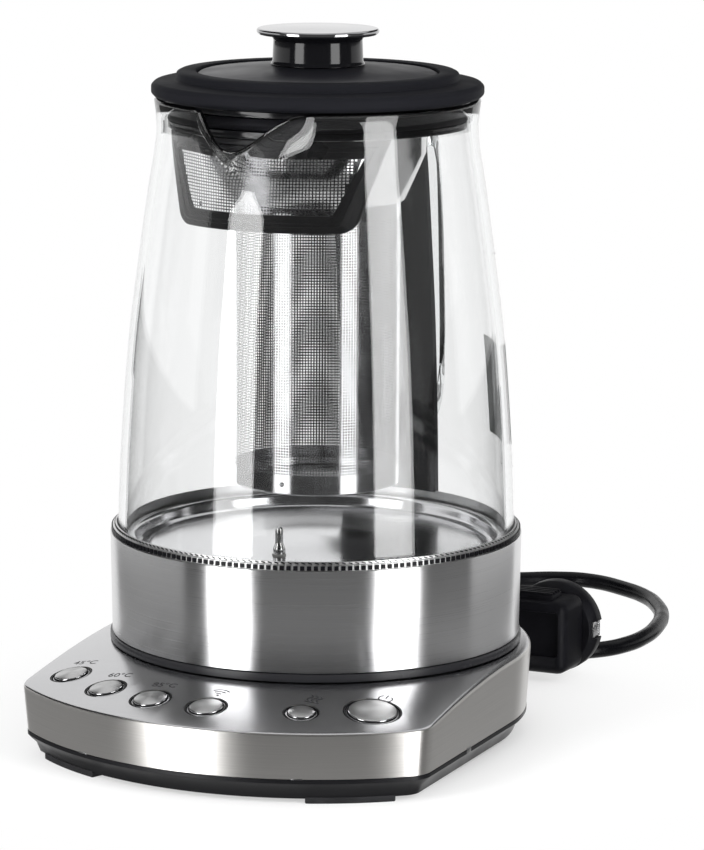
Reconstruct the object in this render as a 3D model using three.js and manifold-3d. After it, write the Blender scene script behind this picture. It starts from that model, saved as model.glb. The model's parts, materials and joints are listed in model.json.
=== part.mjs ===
// Electric tea kettle: a glass jug with a tea infuser, standing on a control base with its lead and plug.
// Millimetres, +Z up. The table is z = 0, the front of the base points to -Y and the spout with it.

import * as THREE from 'three';
import { mergeVertices } from 'three/addons/utils/BufferGeometryUtils.js';
import Module from 'manifold-3d';

const wasm = await Module();
wasm.setup();

// Clearances

const seatGap = 0.3;
const slideGap = 0.5;
const glassGap = 0.6;
const overrun = 5;

// Facets: every ring round the jug's axis shares one count, so nested pieces keep their gaps

const ringSegments = 32;
const spoutSplits = 3;
const midSegments = 24;
const smallSegments = 12;
const tinySegments = 8;

// Base, seen from above: a front arc and a rear arc about the jug's axis, with straight sides

const baseFrontRadius = 118;
const baseRearRadius = 82;
const baseCornerRadius = 13;
const baseHeight = 35.5;
const skirtClearance = 10;
const skirtDraft = 1.5;
const coverWall = 1.2;
const coverEdgeRadius = 3;
const coverPlateauRadius = 78;
const coverSlope = THREE.MathUtils.degToRad(12);

const chassisInset = 6.6;
const chassisWall = 2;
const chassisClearance = 1.8;
const chassisBevel = 1;
const flangeHeight = 3;
const chassisPad = 1.6;
const chassisPadRadius = 5;

const footWidth = 12;
const footEdge = 2;
const footPocket = 1;
const footFrontAngle = 30.5;
const footRearAngle = 140;
const footHalfAngle = 8.2;
const footSteps = 4;

// Buttons on the sloping front of the base

const buttonCircleShare = 0.575;
const buttonAngles = [-39.7, -25.4, -12.3, 1.1, 21.1, 35.7];
const buttonHoleShares = [0.2, 0.2, 0.2, 0.2, 0.1675, 0.2675];
const buttonNames = ['warm', 'green_tea', 'white_tea', 'black_tea', 'timer', 'power'];
const collarWall = 0.4;
const buttonDome = 0.9;
const buttonDomeShares = [[0.72, 0.8], [0.38, 1]];
const buttonLip = 0.2;
const buttonFlange = 1;
const buttonStemRadius = 2.4;
const buttonStemLength = 4;
const buttonTravel = 1.2;
const buttonPlateWall = 1.6;
const buttonPlateMargin = 2.5;
const plateSteps = 10;
const boardWall = 1.6;
const boardHeight = 13;
const boardPostRadius = 3;
const switchRadius = 3.4;

// Round connector in the middle of the base and its socket in the jug

const hubRadius = 18;
const hubRise = 11;
const hubFlangeRadius = 26;
const hubFlangeHeight = 2.4;
const hubBevel = 1;
const hubSlotRadius = 8;
const hubSlotWidth = 5;
const hubSlotDepth = 8;
const hubBoreRadius = 4.2;
const contactHeight = 1.4;
const hubLegRadius = 3.3;
const hubLegs = 3;
const socketWall = 2.2;
const socketHeight = 16;
const socketPinRadius = 3.2;
const socketBladeWall = 2;

const powerBoardWidth = 62;
const powerBoardDepth = 30;
const powerBoardInset = 34;
const powerBoardHeight = 8;
const relayWidth = 20;
const relayDepth = 16;
const relayHeight = 15;

// Screws

const screwRadius = 1.5;
const screwHeadRadius = 3;
const screwHeadHeight = 1.8;
const screwLength = 14;
const screwHoleGap = 0.3;

// Lower part of the jug: foot, steel band and what the band hides

const footRingHeight = 2.9;
const footRingRadius = 78;
const footRingWall = 3;
const bottomPlateWall = 2;
const bottomUpstand = 7;
const bandHeight = 39.5;
const bandFootRadius = 77.2;
const bandRimRadius = 77.8;
const bandWall = 0.8;
const rimRingRise = 0.8;
const glassInset = 12;

// Glass jug: radii of its outer surface, its heights and its spout

const glassFootRadius = 75;
const glassNeckRadius = 60;
const glassHeight = 162.5;
const glassWall = 3;
const glassFlangeWidth = 6;
const glassHeightShares = [0, 0.21, 0.45, 0.64, 0.78, 0.925, 1];
const glassWidthShares = [1, 0.9, 0.7, 0.44, 0.23, 0, 0.067];
const glassRowShares = [0.15, 0.32, 0.48, 0.62, 0.74, 0.83, 0.9, 0.95];
const spoutReach = 17.5;
const spoutDip = 12.5;
const spoutHalfAngle = 24;
const spoutHeight = 42;
const spoutCrownShare = 0.75;
const spoutDipPower = 2.8;
const spoutFlowPower = 2.2;

// Glass handle and the black guard strip behind it

const handleReach = 112.5;
const handleLowRise = 11.5;
const handleHighDrop = 17;
const handleWidth = 21;
const handleRootRadius = 66;
const handleOuterShares = [
  [0.8, 1], [0.889, 0.998], [0.951, 0.962], [0.978, 0.893], [0.996, 0.761],
  [1, 0.52], [1, 0.31], [0.969, 0.164], [0.876, 0.087], [0.73, 0.006],
];
const handleInnerShares = [
  [0.79, 0.925], [0.862, 0.924], [0.9, 0.895], [0.919, 0.83],
  [0.9218, 0.56], [0.9218, 0.3], [0.9, 0.22], [0.844, 0.165], [0.74, 0.092],
];
const handleCurveSteps = 18;
const guardHalfWidth = 20.5;
const guardWall = 2.5;
const guardColumns = 8;
const guardTopDrop = 11;
const armRoom = 2;

// Heater under the jug's floor

const sealWall = 1.8;
const sealWidth = 7.4;
const plateWall = 1;
const plateDome = 1.6;
const plateDomeShare = 0.8;
const plateGrooveDepth = 1.2;
const plateGrooveWidth = 3;
const plateCentreRadius = 30;
const spreaderRadius = 50;
const spreaderHeight = 3;
const elementRadius = 40.5;
const elementTubeRadius = 3.1;
const elementSweep = 310;
const elementSides = 6;
const elementSteps = 16;
const controlWidth = 42;
const sensorDistance = 33.5;
const sensorRadius = 2;
const sensorRise = 9;
const sensorDrop = 9;
const grommetWall = 1.6;
const grommetLip = 1.2;
const studRadius = 3.4;
const studDistance = 57;

// Lid ring with its collar, seal and strainer

const lidFlangeRadius = 62;
const lidFlangeHeight = 5.5;
const lidTierRadius = 52.6;
const lidTierHeight = 4;
const lidEdge = 1.4;
const lidCrown = 0.8;
const collarRadius = 55.8;
const collarThickness = 4.2;
const collarHeight = 10.2;
const sealGroove = 1.5;
const lidSealHeight = 4.4;
const lidSealReach = 0.9;
const strainerRadius = 55.4;
const strainerWall = 1.6;
const strainerMeshWall = 0.6;
const strainerHeight = 33.5;
const strainerHalfWidth = 35.4;
const strainerFlare = 3.2;
const strainerBorder = 6.5;
const strainerCorner = 4;

// Tea infuser

const funnelRadius = 40.6;
const funnelWall = 0.8;
const funnelConeHeight = 18;
const funnelFootRadius = 33;
const funnelSleeve = 3;
const funnelRimWidth = 3.6;
const tubeRadius = 31.3;
const tubeWall = 0.6;
const infuserSeamDrop = 38;
const infuserClearance = 22.6;
const infuserCapHeight = 3.5;

// Inner lid and its knob

const innerLidRadius = 44.8;
const innerLidHeight = 3.2;
const innerLidCrown = 2.6;
const innerLidWall = 2.4;
const plugDepth = 8;
const plugWall = 2.2;
const plugLipHeight = 1.2;
const innerSealHeight = 3.6;
const innerSealGap = 0.4;
const knobStemRadius = 17.7;
const knobStemHeight = 10.8;
const knobCapRadius = 22.8;
const knobCapHeight = 2.2;
const knobCapCrown = 0.5;
const knobScrewRadius = 2;
const knobScrewHeadRadius = 4;
const knobScrewDepth = 8;

// Lead, its gland in the rear of the base, and the plug

const cordRadius = 3.25;
const cordSides = 8;
const cordSteps = 46;
const glandRadius = 5.6;
const glandEndRadius = 4.4;
const glandHeight = 11.5;
const glandLength = 26;
const glandFlange = 1.8;
const glandFlangeRadius = 7.2;
const plugCentre = [52, 18.7];
const plugFaceGap = 17;
const plugDiscRadius = 18.5;
const plugDiscHeight = 9;
const plugBodyWidth = 27;
const plugBodyHeight = 30;
const plugBodyDepth = 18;
const plugBevel = 3;
const plugNeckRadius = 6;
const plugNeckEndRadius = 4.6;
const plugNeckEndX = 20;
const plugNeckGap = 4;
const plugNotchWidth = 7;
const plugNotchDepth = 2.6;
const plugClipWall = 0.9;
const plugPinRadius = 2.4;
const plugPinLength = 19;
const plugPinSeat = 2;
const plugPinSpacing = 19;
const plugPinTilt = 15;

// Places that follow from the sizes above

const buttonShelf = baseFrontRadius - footRingRadius;
const buttonCircleRadius = footRingRadius + buttonCircleShare * buttonShelf;
const buttonHoleRadii = buttonHoleShares.map((share) => share * buttonShelf);
const powerBoardCentreY = baseRearRadius - powerBoardInset;
const glandReach = baseRearRadius + glandLength;
const plugFaceY = glandReach + plugFaceGap;
const plugNeckY = glandReach + plugNeckGap;

const footTop = baseHeight + seatGap + footRingHeight;
const bandBottom = footTop + seatGap;
const bandTop = bandBottom + bandHeight;
const glassBottom = bandTop - glassInset;
const rimTop = bandTop + glassHeight;
const plateHeight = glassBottom + glassWall + sealWall + 2 * seatGap + plateWall;
const spreaderTop = plateHeight - plateWall - seatGap;
const spreaderBottom = spreaderTop - spreaderHeight;
const socketTop = bandBottom + socketHeight;
const lidBottom = rimTop + seatGap;
const lidLedge = lidBottom + lidFlangeHeight - funnelWall - seatGap;
const lidTop = lidBottom + lidFlangeHeight + lidTierHeight;
const innerLidBottom = lidLedge + funnelWall + 2 * seatGap;
const innerLidTop = innerLidBottom + innerLidHeight;
const knobBottom = innerLidTop + innerLidCrown + seatGap;
const knobTop = knobBottom + knobStemHeight;
const infuserSeam = rimTop - infuserSeamDrop;
const infuserBottom = plateHeight + infuserClearance;
const handleLow = bandTop + handleLowRise;
const handleHigh = rimTop - handleHighDrop;
const guardTop = rimTop - guardTopDrop;

const kettle = new THREE.Group();

// Materials

const finish = (color, roughness, metalness = 0, opacity = 1) =>
  new THREE.MeshStandardMaterial({ color, roughness, metalness, opacity, transparent: opacity < 1 });
const brushedSteel = finish(0xa9aaac, 0.34, 1);
const polishedSteel = finish(0xd4d6d8, 0.12, 1);
const blackPlastic = finish(0x1b1c1f, 0.45);
const glossBlack = finish(0x0d0e10, 0.12);
const rubberBlack = finish(0x151517, 0.75);
const clearGlass = finish(0xe6eef0, 0.03, 0, 0.25);
const paleSilicone = finish(0xd8d8d2, 0.6);
const aluminium = finish(0xb7b9bb, 0.4, 1);
const brass = finish(0xc9a24a, 0.3, 1);
const boardGreen = finish(0x1d5a3a, 0.55);

// Helpers

const radians = THREE.MathUtils.degToRad;
const point = (radius, angle, height) =>
  new THREE.Vector3(radius * Math.sin(angle), -radius * Math.cos(angle), height);

function volumeOf(geometry) {
  const place = geometry.attributes.position;
  const [a, b, c] = [new THREE.Vector3(), new THREE.Vector3(), new THREE.Vector3()];
  let volume = 0;
  for (let i = 0; i < geometry.index.count; i += 3) {
    a.fromBufferAttribute(place, geometry.index.getX(i));
    b.fromBufferAttribute(place, geometry.index.getX(i + 1));
    c.fromBufferAttribute(place, geometry.index.getX(i + 2));
    volume += a.dot(b.cross(c)) / 6;
  }
  return volume;
}

// Keeps the positions alone, merges them, and turns the faces out
function solid(geometry) {
  const bare = new THREE.BufferGeometry();
  bare.setAttribute('position', geometry.attributes.position.clone());
  if (geometry.index) bare.setIndex(geometry.index.clone());
  const merged = mergeVertices(bare, 1e-4);
  const faces = [];
  for (let i = 0; i < merged.index.count; i += 3) {
    const [a, b, c] = [0, 1, 2].map((k) => merged.index.getX(i + k));
    if (a !== b && b !== c && c !== a) faces.push(a, b, c);
  }
  merged.setIndex(faces);
  if (volumeOf(merged) < 0) {
    for (let i = 0; i < faces.length; i += 3) [faces[i], faces[i + 1]] = [faces[i + 1], faces[i]];
    merged.setIndex(faces);
  }
  return merged;
}

function fromFaces(points, faces) {
  const geometry = new THREE.BufferGeometry().setFromPoints(points);
  geometry.setIndex(faces);
  return solid(geometry);
}

function toManifold(geometry) {
  return new wasm.Manifold(new wasm.Mesh({
    numProp: 3,
    vertProperties: new Float32Array(geometry.attributes.position.array),
    triVerts: new Uint32Array(geometry.index.array),
  }));
}

function fromManifold(body) {
  const mesh = body.getMesh();
  const geometry = new THREE.BufferGeometry();
  geometry.setAttribute('position', new THREE.BufferAttribute(new Float32Array(mesh.vertProperties), 3));
  geometry.setIndex([...mesh.triVerts]);
  return solid(geometry);
}

function combine(first, others, action) {
  let body = toManifold(first);
  for (const other of others) body = body[action](toManifold(other));
  return fromManifold(body);
}

const cut = (first, ...others) => combine(first, others, 'subtract');
const join = (first, ...others) => combine(first, others, 'add');
const common = (first, ...others) => combine(first, others, 'intersect');

// A solid of revolution about the vertical axis from points of radius and height
function lathe(profile, segments = ringSegments) {
  const points = profile.map(([radius, height]) => new THREE.Vector2(radius, height));
  return solid(new THREE.LatheGeometry(points, segments).rotateX(Math.PI / 2));
}

const ring = (inner, outer, low, high, segments) =>
  lathe([[inner, low], [outer, low], [outer, high], [inner, high], [inner, low]], segments);

const rod = (radius, low, high, segments = tinySegments) =>
  lathe([[0, low], [radius, low], [radius, high], [0, high]], segments);

function block(width, depth, low, high) {
  const geometry = new THREE.BoxGeometry(width, depth, high - low);
  return solid(geometry.translate(0, 0, (low + high) / 2));
}

// Joins rings of points; the ends are closed by flat caps, or the last ring meets the first
function loft(rings, closed = false) {
  const size = rings[0].length;
  const faces = [];
  const spans = closed ? rings.length : rings.length - 1;
  for (let i = 0; i < spans; i += 1) {
    const next = ((i + 1) % rings.length) * size;
    for (let j = 0; j < size; j += 1) {
      const k = (j + 1) % size;
      faces.push(i * size + j, i * size + k, next + k, i * size + j, next + k, next + j);
    }
  }
  if (!closed) {
    const last = (rings.length - 1) * size;
    for (const [a, b, c] of THREE.ShapeUtils.triangulateShape(flatten(rings[0]), [])) faces.push(a, c, b);
    for (const [a, b, c] of THREE.ShapeUtils.triangulateShape(flatten(rings.at(-1)), [])) {
      faces.push(last + a, last + b, last + c);
    }
  }
  return fromFaces(rings.flat(), faces);
}

// The outline of a ring in its own plane, for its cap
function flatten(points) {
  const normal = new THREE.Vector3();
  points.forEach((p, i) => {
    const q = points[(i + 1) % points.length];
    normal.x += (p.y - q.y) * (p.z + q.z);
    normal.y += (p.z - q.z) * (p.x + q.x);
    normal.z += (p.x - q.x) * (p.y + q.y);
  });
  const turn = new THREE.Quaternion().setFromUnitVectors(normal.normalize(), new THREE.Vector3(0, 0, 1));
  return points.map((p) => {
    const q = p.clone().applyQuaternion(turn);
    return new THREE.Vector2(q.x, q.y);
  });
}

// A profile of radius and height swept round the axis from one angle to another
function sector(profile, start, end, steps) {
  const rings = [];
  for (let i = 0; i <= steps; i += 1) {
    const angle = start + ((end - start) * i) / steps;
    rings.push(profile.map(([radius, height]) => point(radius, angle, height)));
  }
  return loft(rings);
}

function add(name, geometry, material, parent = kettle) {
  const mesh = new THREE.Mesh(geometry, material);
  mesh.name = name;
  parent.add(mesh);
  return mesh;
}

// A pan-head screw pointing up, with the underside of its head at z = 0
const screwGeometry = lathe([
  [0, -screwHeadHeight], [screwHeadRadius, -screwHeadHeight], [screwHeadRadius, 0],
  [screwRadius, 0], [screwRadius, screwLength], [0, screwLength],
], tinySegments);
const screwHole = (low, high) => rod(screwRadius + screwHoleGap, low, high);

// Outline of the base, drawn in by an inset, one point after another from the front to the right
function baseOutline(inset) {
  const side = baseRearRadius - baseCornerRadius;
  const reach = baseFrontRadius - baseCornerRadius;
  const cornerY = -Math.sqrt(reach ** 2 - side ** 2);
  const cornerAngle = Math.atan2(side, -cornerY);
  const arc = (centreX, centreY, radius, from, to, steps) =>
    Array.from({ length: steps + 1 }, (_, i) => {
      const angle = from + ((to - from) * i) / steps;
      return point(radius - inset, angle, 0).add(new THREE.Vector3(centreX, centreY, 0));
    });
  const frontSteps = 7;
  const cornerSteps = 3;
  const sideSteps = 3;
  const rearSteps = 8;
  const half = [
    ...arc(0, 0, baseFrontRadius, 0, cornerAngle, frontSteps),
    ...arc(side, cornerY, baseCornerRadius, cornerAngle, Math.PI / 2, cornerSteps).slice(1),
    ...Array.from({ length: sideSteps - 1 }, (_, i) =>
      new THREE.Vector3(baseRearRadius - inset, cornerY * (1 - (i + 1) / sideSteps), 0)),
    ...arc(0, 0, baseRearRadius, Math.PI / 2, Math.PI, rearSteps),
  ];
  const mirrored = half.slice(1, -1).reverse().map((p) => new THREE.Vector3(-p.x, p.y, 0));
  return [...half, ...mirrored];
}

const atHeight = (points, height) => points.map((p) => new THREE.Vector3(p.x, p.y, height));
const slopeHeight = (radius) =>
  baseHeight - Math.max(0, radius - coverPlateauRadius) * Math.tan(coverSlope);

// Base cover: brushed sheet steel, flat under the jug and sloping outwards round it
function coverRings(offset) {
  const outer = coverEdgeRadius - offset;
  const drop = (inset, fall) => baseOutline(inset).map((p) =>
    new THREE.Vector3(p.x, p.y, slopeHeight(Math.hypot(p.x, p.y)) - offset - fall));
  const rings = [atHeight(baseOutline(skirtDraft + offset), skirtClearance)];
  const edgeSteps = 2;
  for (let i = 0; i <= edgeSteps; i += 1) {
    const angle = (Math.PI / 2 * i) / edgeSteps;
    rings.push(drop(offset + outer * (1 - Math.cos(angle)), outer * (1 - Math.sin(angle))));
  }
  const plateau = baseOutline(0).map((p) =>
    point(coverPlateauRadius, Math.atan2(p.x, -p.y), baseHeight - offset));
  const mouth = baseOutline(0).map((p) =>
    point(hubRadius + slideGap, Math.atan2(p.x, -p.y), baseHeight - offset));
  return [...rings, plateau, mouth];
}

// Each button stands on its own axis, square to the slope
const buttonPlace = (angle) => {
  const turn = radians(angle);
  const spot = point(buttonCircleRadius, turn, slopeHeight(buttonCircleRadius));
  const upright = new THREE.Vector3(0, 0, 1);
  const leaning = point(Math.sin(coverSlope), turn, Math.cos(coverSlope));
  return new THREE.Matrix4().compose(
    spot,
    new THREE.Quaternion().setFromUnitVectors(upright, leaning),
    new THREE.Vector3(1, 1, 1),
  );
};
const buttonPlaces = buttonAngles.map(buttonPlace);
const glandCutter = (radius) =>
  rod(radius, 0, baseRearRadius + overrun, tinySegments).rotateX(-Math.PI / 2).translate(0, 0, glandHeight);

const coverHoles = buttonPlaces.map((place, i) =>
  rod(buttonHoleRadii[i], -overrun, overrun, smallSegments).applyMatrix4(place));
add('base_cover', cut(
  loft([...coverRings(0), ...coverRings(coverWall).reverse()], true),
  ...coverHoles,
  glandCutter(glandRadius + seatGap),
), brushedSteel);

// Button frame: one black plate under the slope, with a collar round each button
const plateTopFall = (coverWall + seatGap) / Math.cos(coverSlope);
const plateFall = plateTopFall + buttonPlateWall / Math.cos(coverSlope);
const widestHole = Math.max(...buttonHoleRadii);
const plateInnerRadius = buttonCircleRadius - widestHole - buttonPlateMargin;
const plateOuterRadius = buttonCircleRadius + widestHole + buttonPlateMargin / 2;
const plateMarginAngles = [buttonHoleRadii[0], buttonHoleRadii.at(-1)]
  .map((radius) => (radius + buttonPlateMargin) / buttonCircleRadius);
const roomInset = coverWall + coverEdgeRadius + seatGap;
const coverRoom = loft([atHeight(baseOutline(roomInset), 0), atHeight(baseOutline(roomInset), baseHeight)]);
const plateProfile = [
  [plateInnerRadius, slopeHeight(plateInnerRadius) - plateFall],
  [plateOuterRadius, slopeHeight(plateOuterRadius) - plateFall],
  [plateOuterRadius, slopeHeight(plateOuterRadius) - plateTopFall],
  [plateInnerRadius, slopeHeight(plateInnerRadius) - plateTopFall],
];
const buttonPlate = sector(
  plateProfile,
  radians(buttonAngles[0]) - plateMarginAngles[0],
  radians(buttonAngles.at(-1)) + plateMarginAngles[1],
  plateSteps,
);
const collars = buttonPlaces.map((place, i) =>
  rod(buttonHoleRadii[i] - seatGap, -plateTopFall - seatGap, -buttonLip, smallSegments).applyMatrix4(place));
const collarBores = buttonPlaces.map((place, i) =>
  rod(buttonHoleRadii[i] - seatGap - collarWall, -overrun, overrun, smallSegments).applyMatrix4(place));
add('button_frame', cut(join(common(buttonPlate, coverRoom), ...collars), ...collarBores), blackPlastic);

// Buttons: domed steel caps, held under the frame by a flange, with a stem over the switch
buttonPlaces.forEach((place, i) => {
  const radius = buttonHoleRadii[i] - 2 * seatGap - collarWall;
  const flangeTop = -plateFall - seatGap;
  const flangeBottom = flangeTop - buttonFlange;
  const button = add(`button_${buttonNames[i]}`, lathe([
    [0, flangeBottom - buttonStemLength], [buttonStemRadius, flangeBottom - buttonStemLength],
    [buttonStemRadius, flangeBottom], [radius + collarWall, flangeBottom],
    [radius + collarWall, flangeTop], [radius, flangeTop], [radius, 0],
    ...buttonDomeShares.map(([reach, rise]) => [radius * reach, buttonDome * rise]), [0, buttonDome],
  ], smallSegments), polishedSteel);
  button.applyMatrix4(place);
});

// Control board: an arc behind the front edge, with a switch under each button
const boardProfile = [
  [plateInnerRadius, boardHeight], [plateOuterRadius - widestHole / 2, boardHeight],
  [plateOuterRadius - widestHole / 2, boardHeight + boardWall], [plateInnerRadius, boardHeight + boardWall],
];
const stemEnd = -plateFall - seatGap - buttonFlange - buttonStemLength;
const switches = buttonPlaces.map((place) => {
  const tip = new THREE.Vector3(0, 0, stemEnd).applyMatrix4(place);
  const high = tip.z - buttonTravel - seatGap - buttonStemRadius * Math.sin(coverSlope);
  return rod(switchRadius, boardHeight + boardWall / 2, high).translate(tip.x, tip.y, 0);
});
add('control_board', join(
  sector(boardProfile, radians(buttonAngles[0]), radians(buttonAngles.at(-1)), plateSteps),
  ...switches,
), boardGreen);

// Connector hub: stands through the cover, with slots for the socket's blade and pin
const hubTop = baseHeight + hubRise;
const hubFlangeTop = baseHeight - coverWall - seatGap;
const hubFlangeBottom = hubFlangeTop - hubFlangeHeight;
const hubSlotFloor = hubTop - hubSlotDepth;
const hubFloor = hubFlangeBottom - hubFlangeHeight;
const legDistance = (hubRadius + hubFlangeRadius) / 2;
const chassisFloor = chassisClearance + chassisWall;
const padTop = chassisFloor + chassisPad;
const headSeat = chassisClearance + screwHeadHeight;
const legAngles = Array.from({ length: hubLegs }, (_, i) => (2 * Math.PI * i) / hubLegs);
const hub = lathe([
  [0, hubFloor], [hubRadius, hubFloor], [hubRadius, hubFlangeBottom],
  [hubFlangeRadius, hubFlangeBottom], [hubFlangeRadius, hubFlangeTop], [hubRadius, hubFlangeTop],
  [hubRadius, hubTop - hubBevel], [hubRadius - hubBevel, hubTop],
  [hubSlotRadius + hubSlotWidth, hubTop], [hubSlotRadius + hubSlotWidth, hubSlotFloor],
  [hubSlotRadius, hubSlotFloor], [hubSlotRadius, hubTop],
  [hubBoreRadius, hubTop], [hubBoreRadius, hubSlotFloor], [0, hubSlotFloor],
], midSegments);
const hubLegBodies = legAngles.map((angle) => {
  const spot = point(legDistance, angle, 0);
  const legTop = hubFlangeTop - hubFlangeHeight / 2;
  return rod(hubLegRadius, padTop + seatGap, legTop).translate(spot.x, spot.y, 0);
});
const legHoles = legAngles.map((angle) => {
  const spot = point(legDistance, angle, 0);
  return screwHole(0, headSeat + screwLength + seatGap).translate(spot.x, spot.y, 0);
});
add('base_connector', cut(join(hub, ...hubLegBodies), ...legHoles), blackPlastic);
add('contact_ring', ring(
  hubSlotRadius + seatGap, hubSlotRadius + hubSlotWidth - seatGap,
  hubSlotFloor + seatGap, hubSlotFloor + seatGap + contactHeight, midSegments,
), brass);
add('contact_centre', rod(
  hubBoreRadius - seatGap, hubSlotFloor + seatGap, hubSlotFloor + seatGap + contactHeight,
), brass);

// Feet: rubber pads near the corners, seated in pockets of the chassis
const frontFootRadius = baseFrontRadius - chassisInset - footEdge;
const rearFootRadius = baseRearRadius - chassisInset - footEdge;
const feet = [
  ['foot_front_right', footFrontAngle, frontFootRadius],
  ['foot_front_left', -footFrontAngle, frontFootRadius],
  ['foot_rear_right', footRearAngle, rearFootRadius],
  ['foot_rear_left', -footRearAngle, rearFootRadius],
].map(([name, angle, radius]) => ({
  name,
  radius,
  middle: radians(angle),
  half: (radians(footHalfAngle) * frontFootRadius) / radius,
}));
const footBody = ({ radius, middle, half }, grow, high) => {
  const spread = grow / radius;
  const outer = radius + grow;
  const inner = radius - footWidth - grow;
  const low = -2 * grow;
  return sector([[inner, low], [outer, low], [outer, high], [inner, high]],
    middle - half - spread, middle + half + spread, footSteps);
};
const footTopHeight = chassisClearance + footPocket - seatGap;
for (const foot of feet) add(foot.name, footBody(foot, 0, footTopHeight), rubberBlack);

// Chassis: the black tray that closes the base from below
const chassisTop = skirtClearance + flangeHeight;
const flangeInset = skirtDraft + coverWall + seatGap;
const shelf = skirtClearance - seatGap;
const tray = loft([
  atHeight(baseOutline(chassisInset + chassisBevel), chassisClearance),
  atHeight(baseOutline(chassisInset), chassisClearance + chassisBevel),
  atHeight(baseOutline(chassisInset), shelf),
  atHeight(baseOutline(flangeInset), shelf + seatGap),
  atHeight(baseOutline(flangeInset), chassisTop),
  atHeight(baseOutline(flangeInset + chassisWall), chassisTop),
  atHeight(baseOutline(chassisInset + chassisWall), shelf),
  atHeight(baseOutline(chassisInset + chassisWall), chassisFloor),
]);
const boardPostDistance = (boardProfile[0][0] + boardProfile[1][0]) / 2;
const postBottom = chassisFloor - chassisWall / 2;
const postAngles = [
  (buttonAngles[0] + buttonAngles[1]) / 2, (buttonAngles[3] + buttonAngles[4]) / 2, buttonAngles[5],
];
const boardPosts = postAngles.map((angle) => {
  const spot = point(boardPostDistance, radians(angle), 0);
  return rod(boardPostRadius, postBottom, boardHeight - seatGap).translate(spot.x, spot.y, 0);
});
const powerPosts = [-1, 1].map((side) =>
  rod(boardPostRadius, postBottom, powerBoardHeight - seatGap)
    .translate((side * (powerBoardWidth - 4 * boardPostRadius)) / 2, powerBoardCentreY, 0));
const atLegs = (geometry) => legAngles.map((angle) => {
  const spot = point(legDistance, angle, 0);
  return geometry.clone().translate(spot.x, spot.y, 0);
});
add('base_chassis', cut(
  join(tray, ...boardPosts, ...powerPosts, ...atLegs(rod(chassisPadRadius, postBottom, padTop))),
  ...feet.map((foot) => footBody(foot, seatGap, footTopHeight + seatGap)),
  ...atLegs(rod(screwHeadRadius + seatGap, 0, headSeat + seatGap)),
  ...atLegs(screwHole(0, padTop + overrun)),
  glandCutter(glandRadius + seatGap),
), blackPlastic);
legAngles.forEach((angle, i) => {
  const screw = add(`base_screw_${i + 1}`, screwGeometry, brushedSteel);
  screw.position.copy(point(legDistance, angle, headSeat));
});

// Power board: a flat board with a relay and a transformer block
const relayBottom = powerBoardHeight + boardWall / 2;
const relay = (x) => block(relayWidth, relayDepth, relayBottom, powerBoardHeight + relayHeight)
  .translate(x, powerBoardCentreY, 0);
add('power_board', join(
  block(powerBoardWidth, powerBoardDepth, powerBoardHeight, powerBoardHeight + boardWall)
    .translate(0, powerBoardCentreY, 0),
  relay(-relayWidth), relay(relayWidth / 2),
), boardGreen);

// Radius of the jug's outer wall at a height, a smooth curve through its shares
function wallRadius(height) {
  const share = THREE.MathUtils.clamp((height - bandTop) / glassHeight, 0, 1);
  const places = glassHeightShares;
  const widths = glassWidthShares;
  let i = 0;
  while (i < places.length - 2 && share > places[i + 1]) i += 1;
  const slope = (k) => {
    const a = Math.max(0, k - 1);
    const b = Math.min(places.length - 1, k + 1);
    return (widths[b] - widths[a]) / (places[b] - places[a]);
  };
  const span = places[i + 1] - places[i];
  const t = (share - places[i]) / span;
  const width = widths[i] * (2 * t ** 3 - 3 * t ** 2 + 1) + slope(i) * span * (t ** 3 - 2 * t ** 2 + t)
    + widths[i + 1] * (3 * t ** 2 - 2 * t ** 3) + slope(i + 1) * span * (t ** 3 - t ** 2);
  return glassNeckRadius + (glassFootRadius - glassNeckRadius) * width;
}

// How far the spout is drawn out at an angle from the front: 1 at its tip, 0 beside it
function spoutShare(angle) {
  const turn = Math.abs(Math.atan2(Math.sin(angle), Math.cos(angle))) / radians(spoutHalfAngle);
  return turn < 1 ? Math.cos((Math.PI / 2) * turn) ** (2 * spoutCrownShare) : 0;
}

// Angles of the glass: the common ring, with finer steps at the spout
const glassAngles = [];
for (let i = 0; i < ringSegments; i += 1) {
  const middle = i + 0.5 > ringSegments / 2 ? ringSegments - i - 0.5 : i + 0.5;
  const splits = middle * (360 / ringSegments) < spoutHalfAngle + 360 / ringSegments / 2 ? spoutSplits : 1;
  for (let k = 0; k < splits; k += 1) glassAngles.push((2 * Math.PI * (i + k / splits)) / ringSegments);
}

// One ring of the jug's wall; inset is the depth below the outer surface, share is the height share
function glassRing(share, inset) {
  return glassAngles.map((angle) => {
    const drawn = spoutShare(angle);
    const rim = rimTop - spoutDip * drawn ** spoutDipPower;
    const spoutLow = rimTop - spoutHeight;
    const plain = bandTop + glassHeight * share;
    const rise = Math.max(0, (plain - spoutLow) / spoutHeight);
    const height = plain > spoutLow ? spoutLow + (rim - spoutLow) * rise : plain;
    const reach = spoutReach * drawn * rise ** spoutFlowPower;
    return point(wallRadius(plain) + reach - inset, angle, height);
  });
}
const flatRing = (radius, height) => glassAngles.map((angle) => point(radius, angle, height));

const glassFloor = glassBottom + glassWall;
const glassCorner = glassWall / 2;
const rowShares = [0, ...glassRowShares, 1];
add('glass_jug', loft([
  flatRing(glassFootRadius - glassWall - glassFlangeWidth, glassFloor),
  flatRing(glassFootRadius - glassWall - glassFlangeWidth, glassBottom),
  flatRing(glassFootRadius - glassCorner, glassBottom),
  flatRing(glassFootRadius, glassBottom + glassCorner),
  ...rowShares.map((share) => glassRing(share, 0)),
  ...[...rowShares].reverse().map((share) => glassRing(share, glassWall)),
  flatRing(glassFootRadius - glassWall, glassFloor),
], true), clearGlass);

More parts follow.
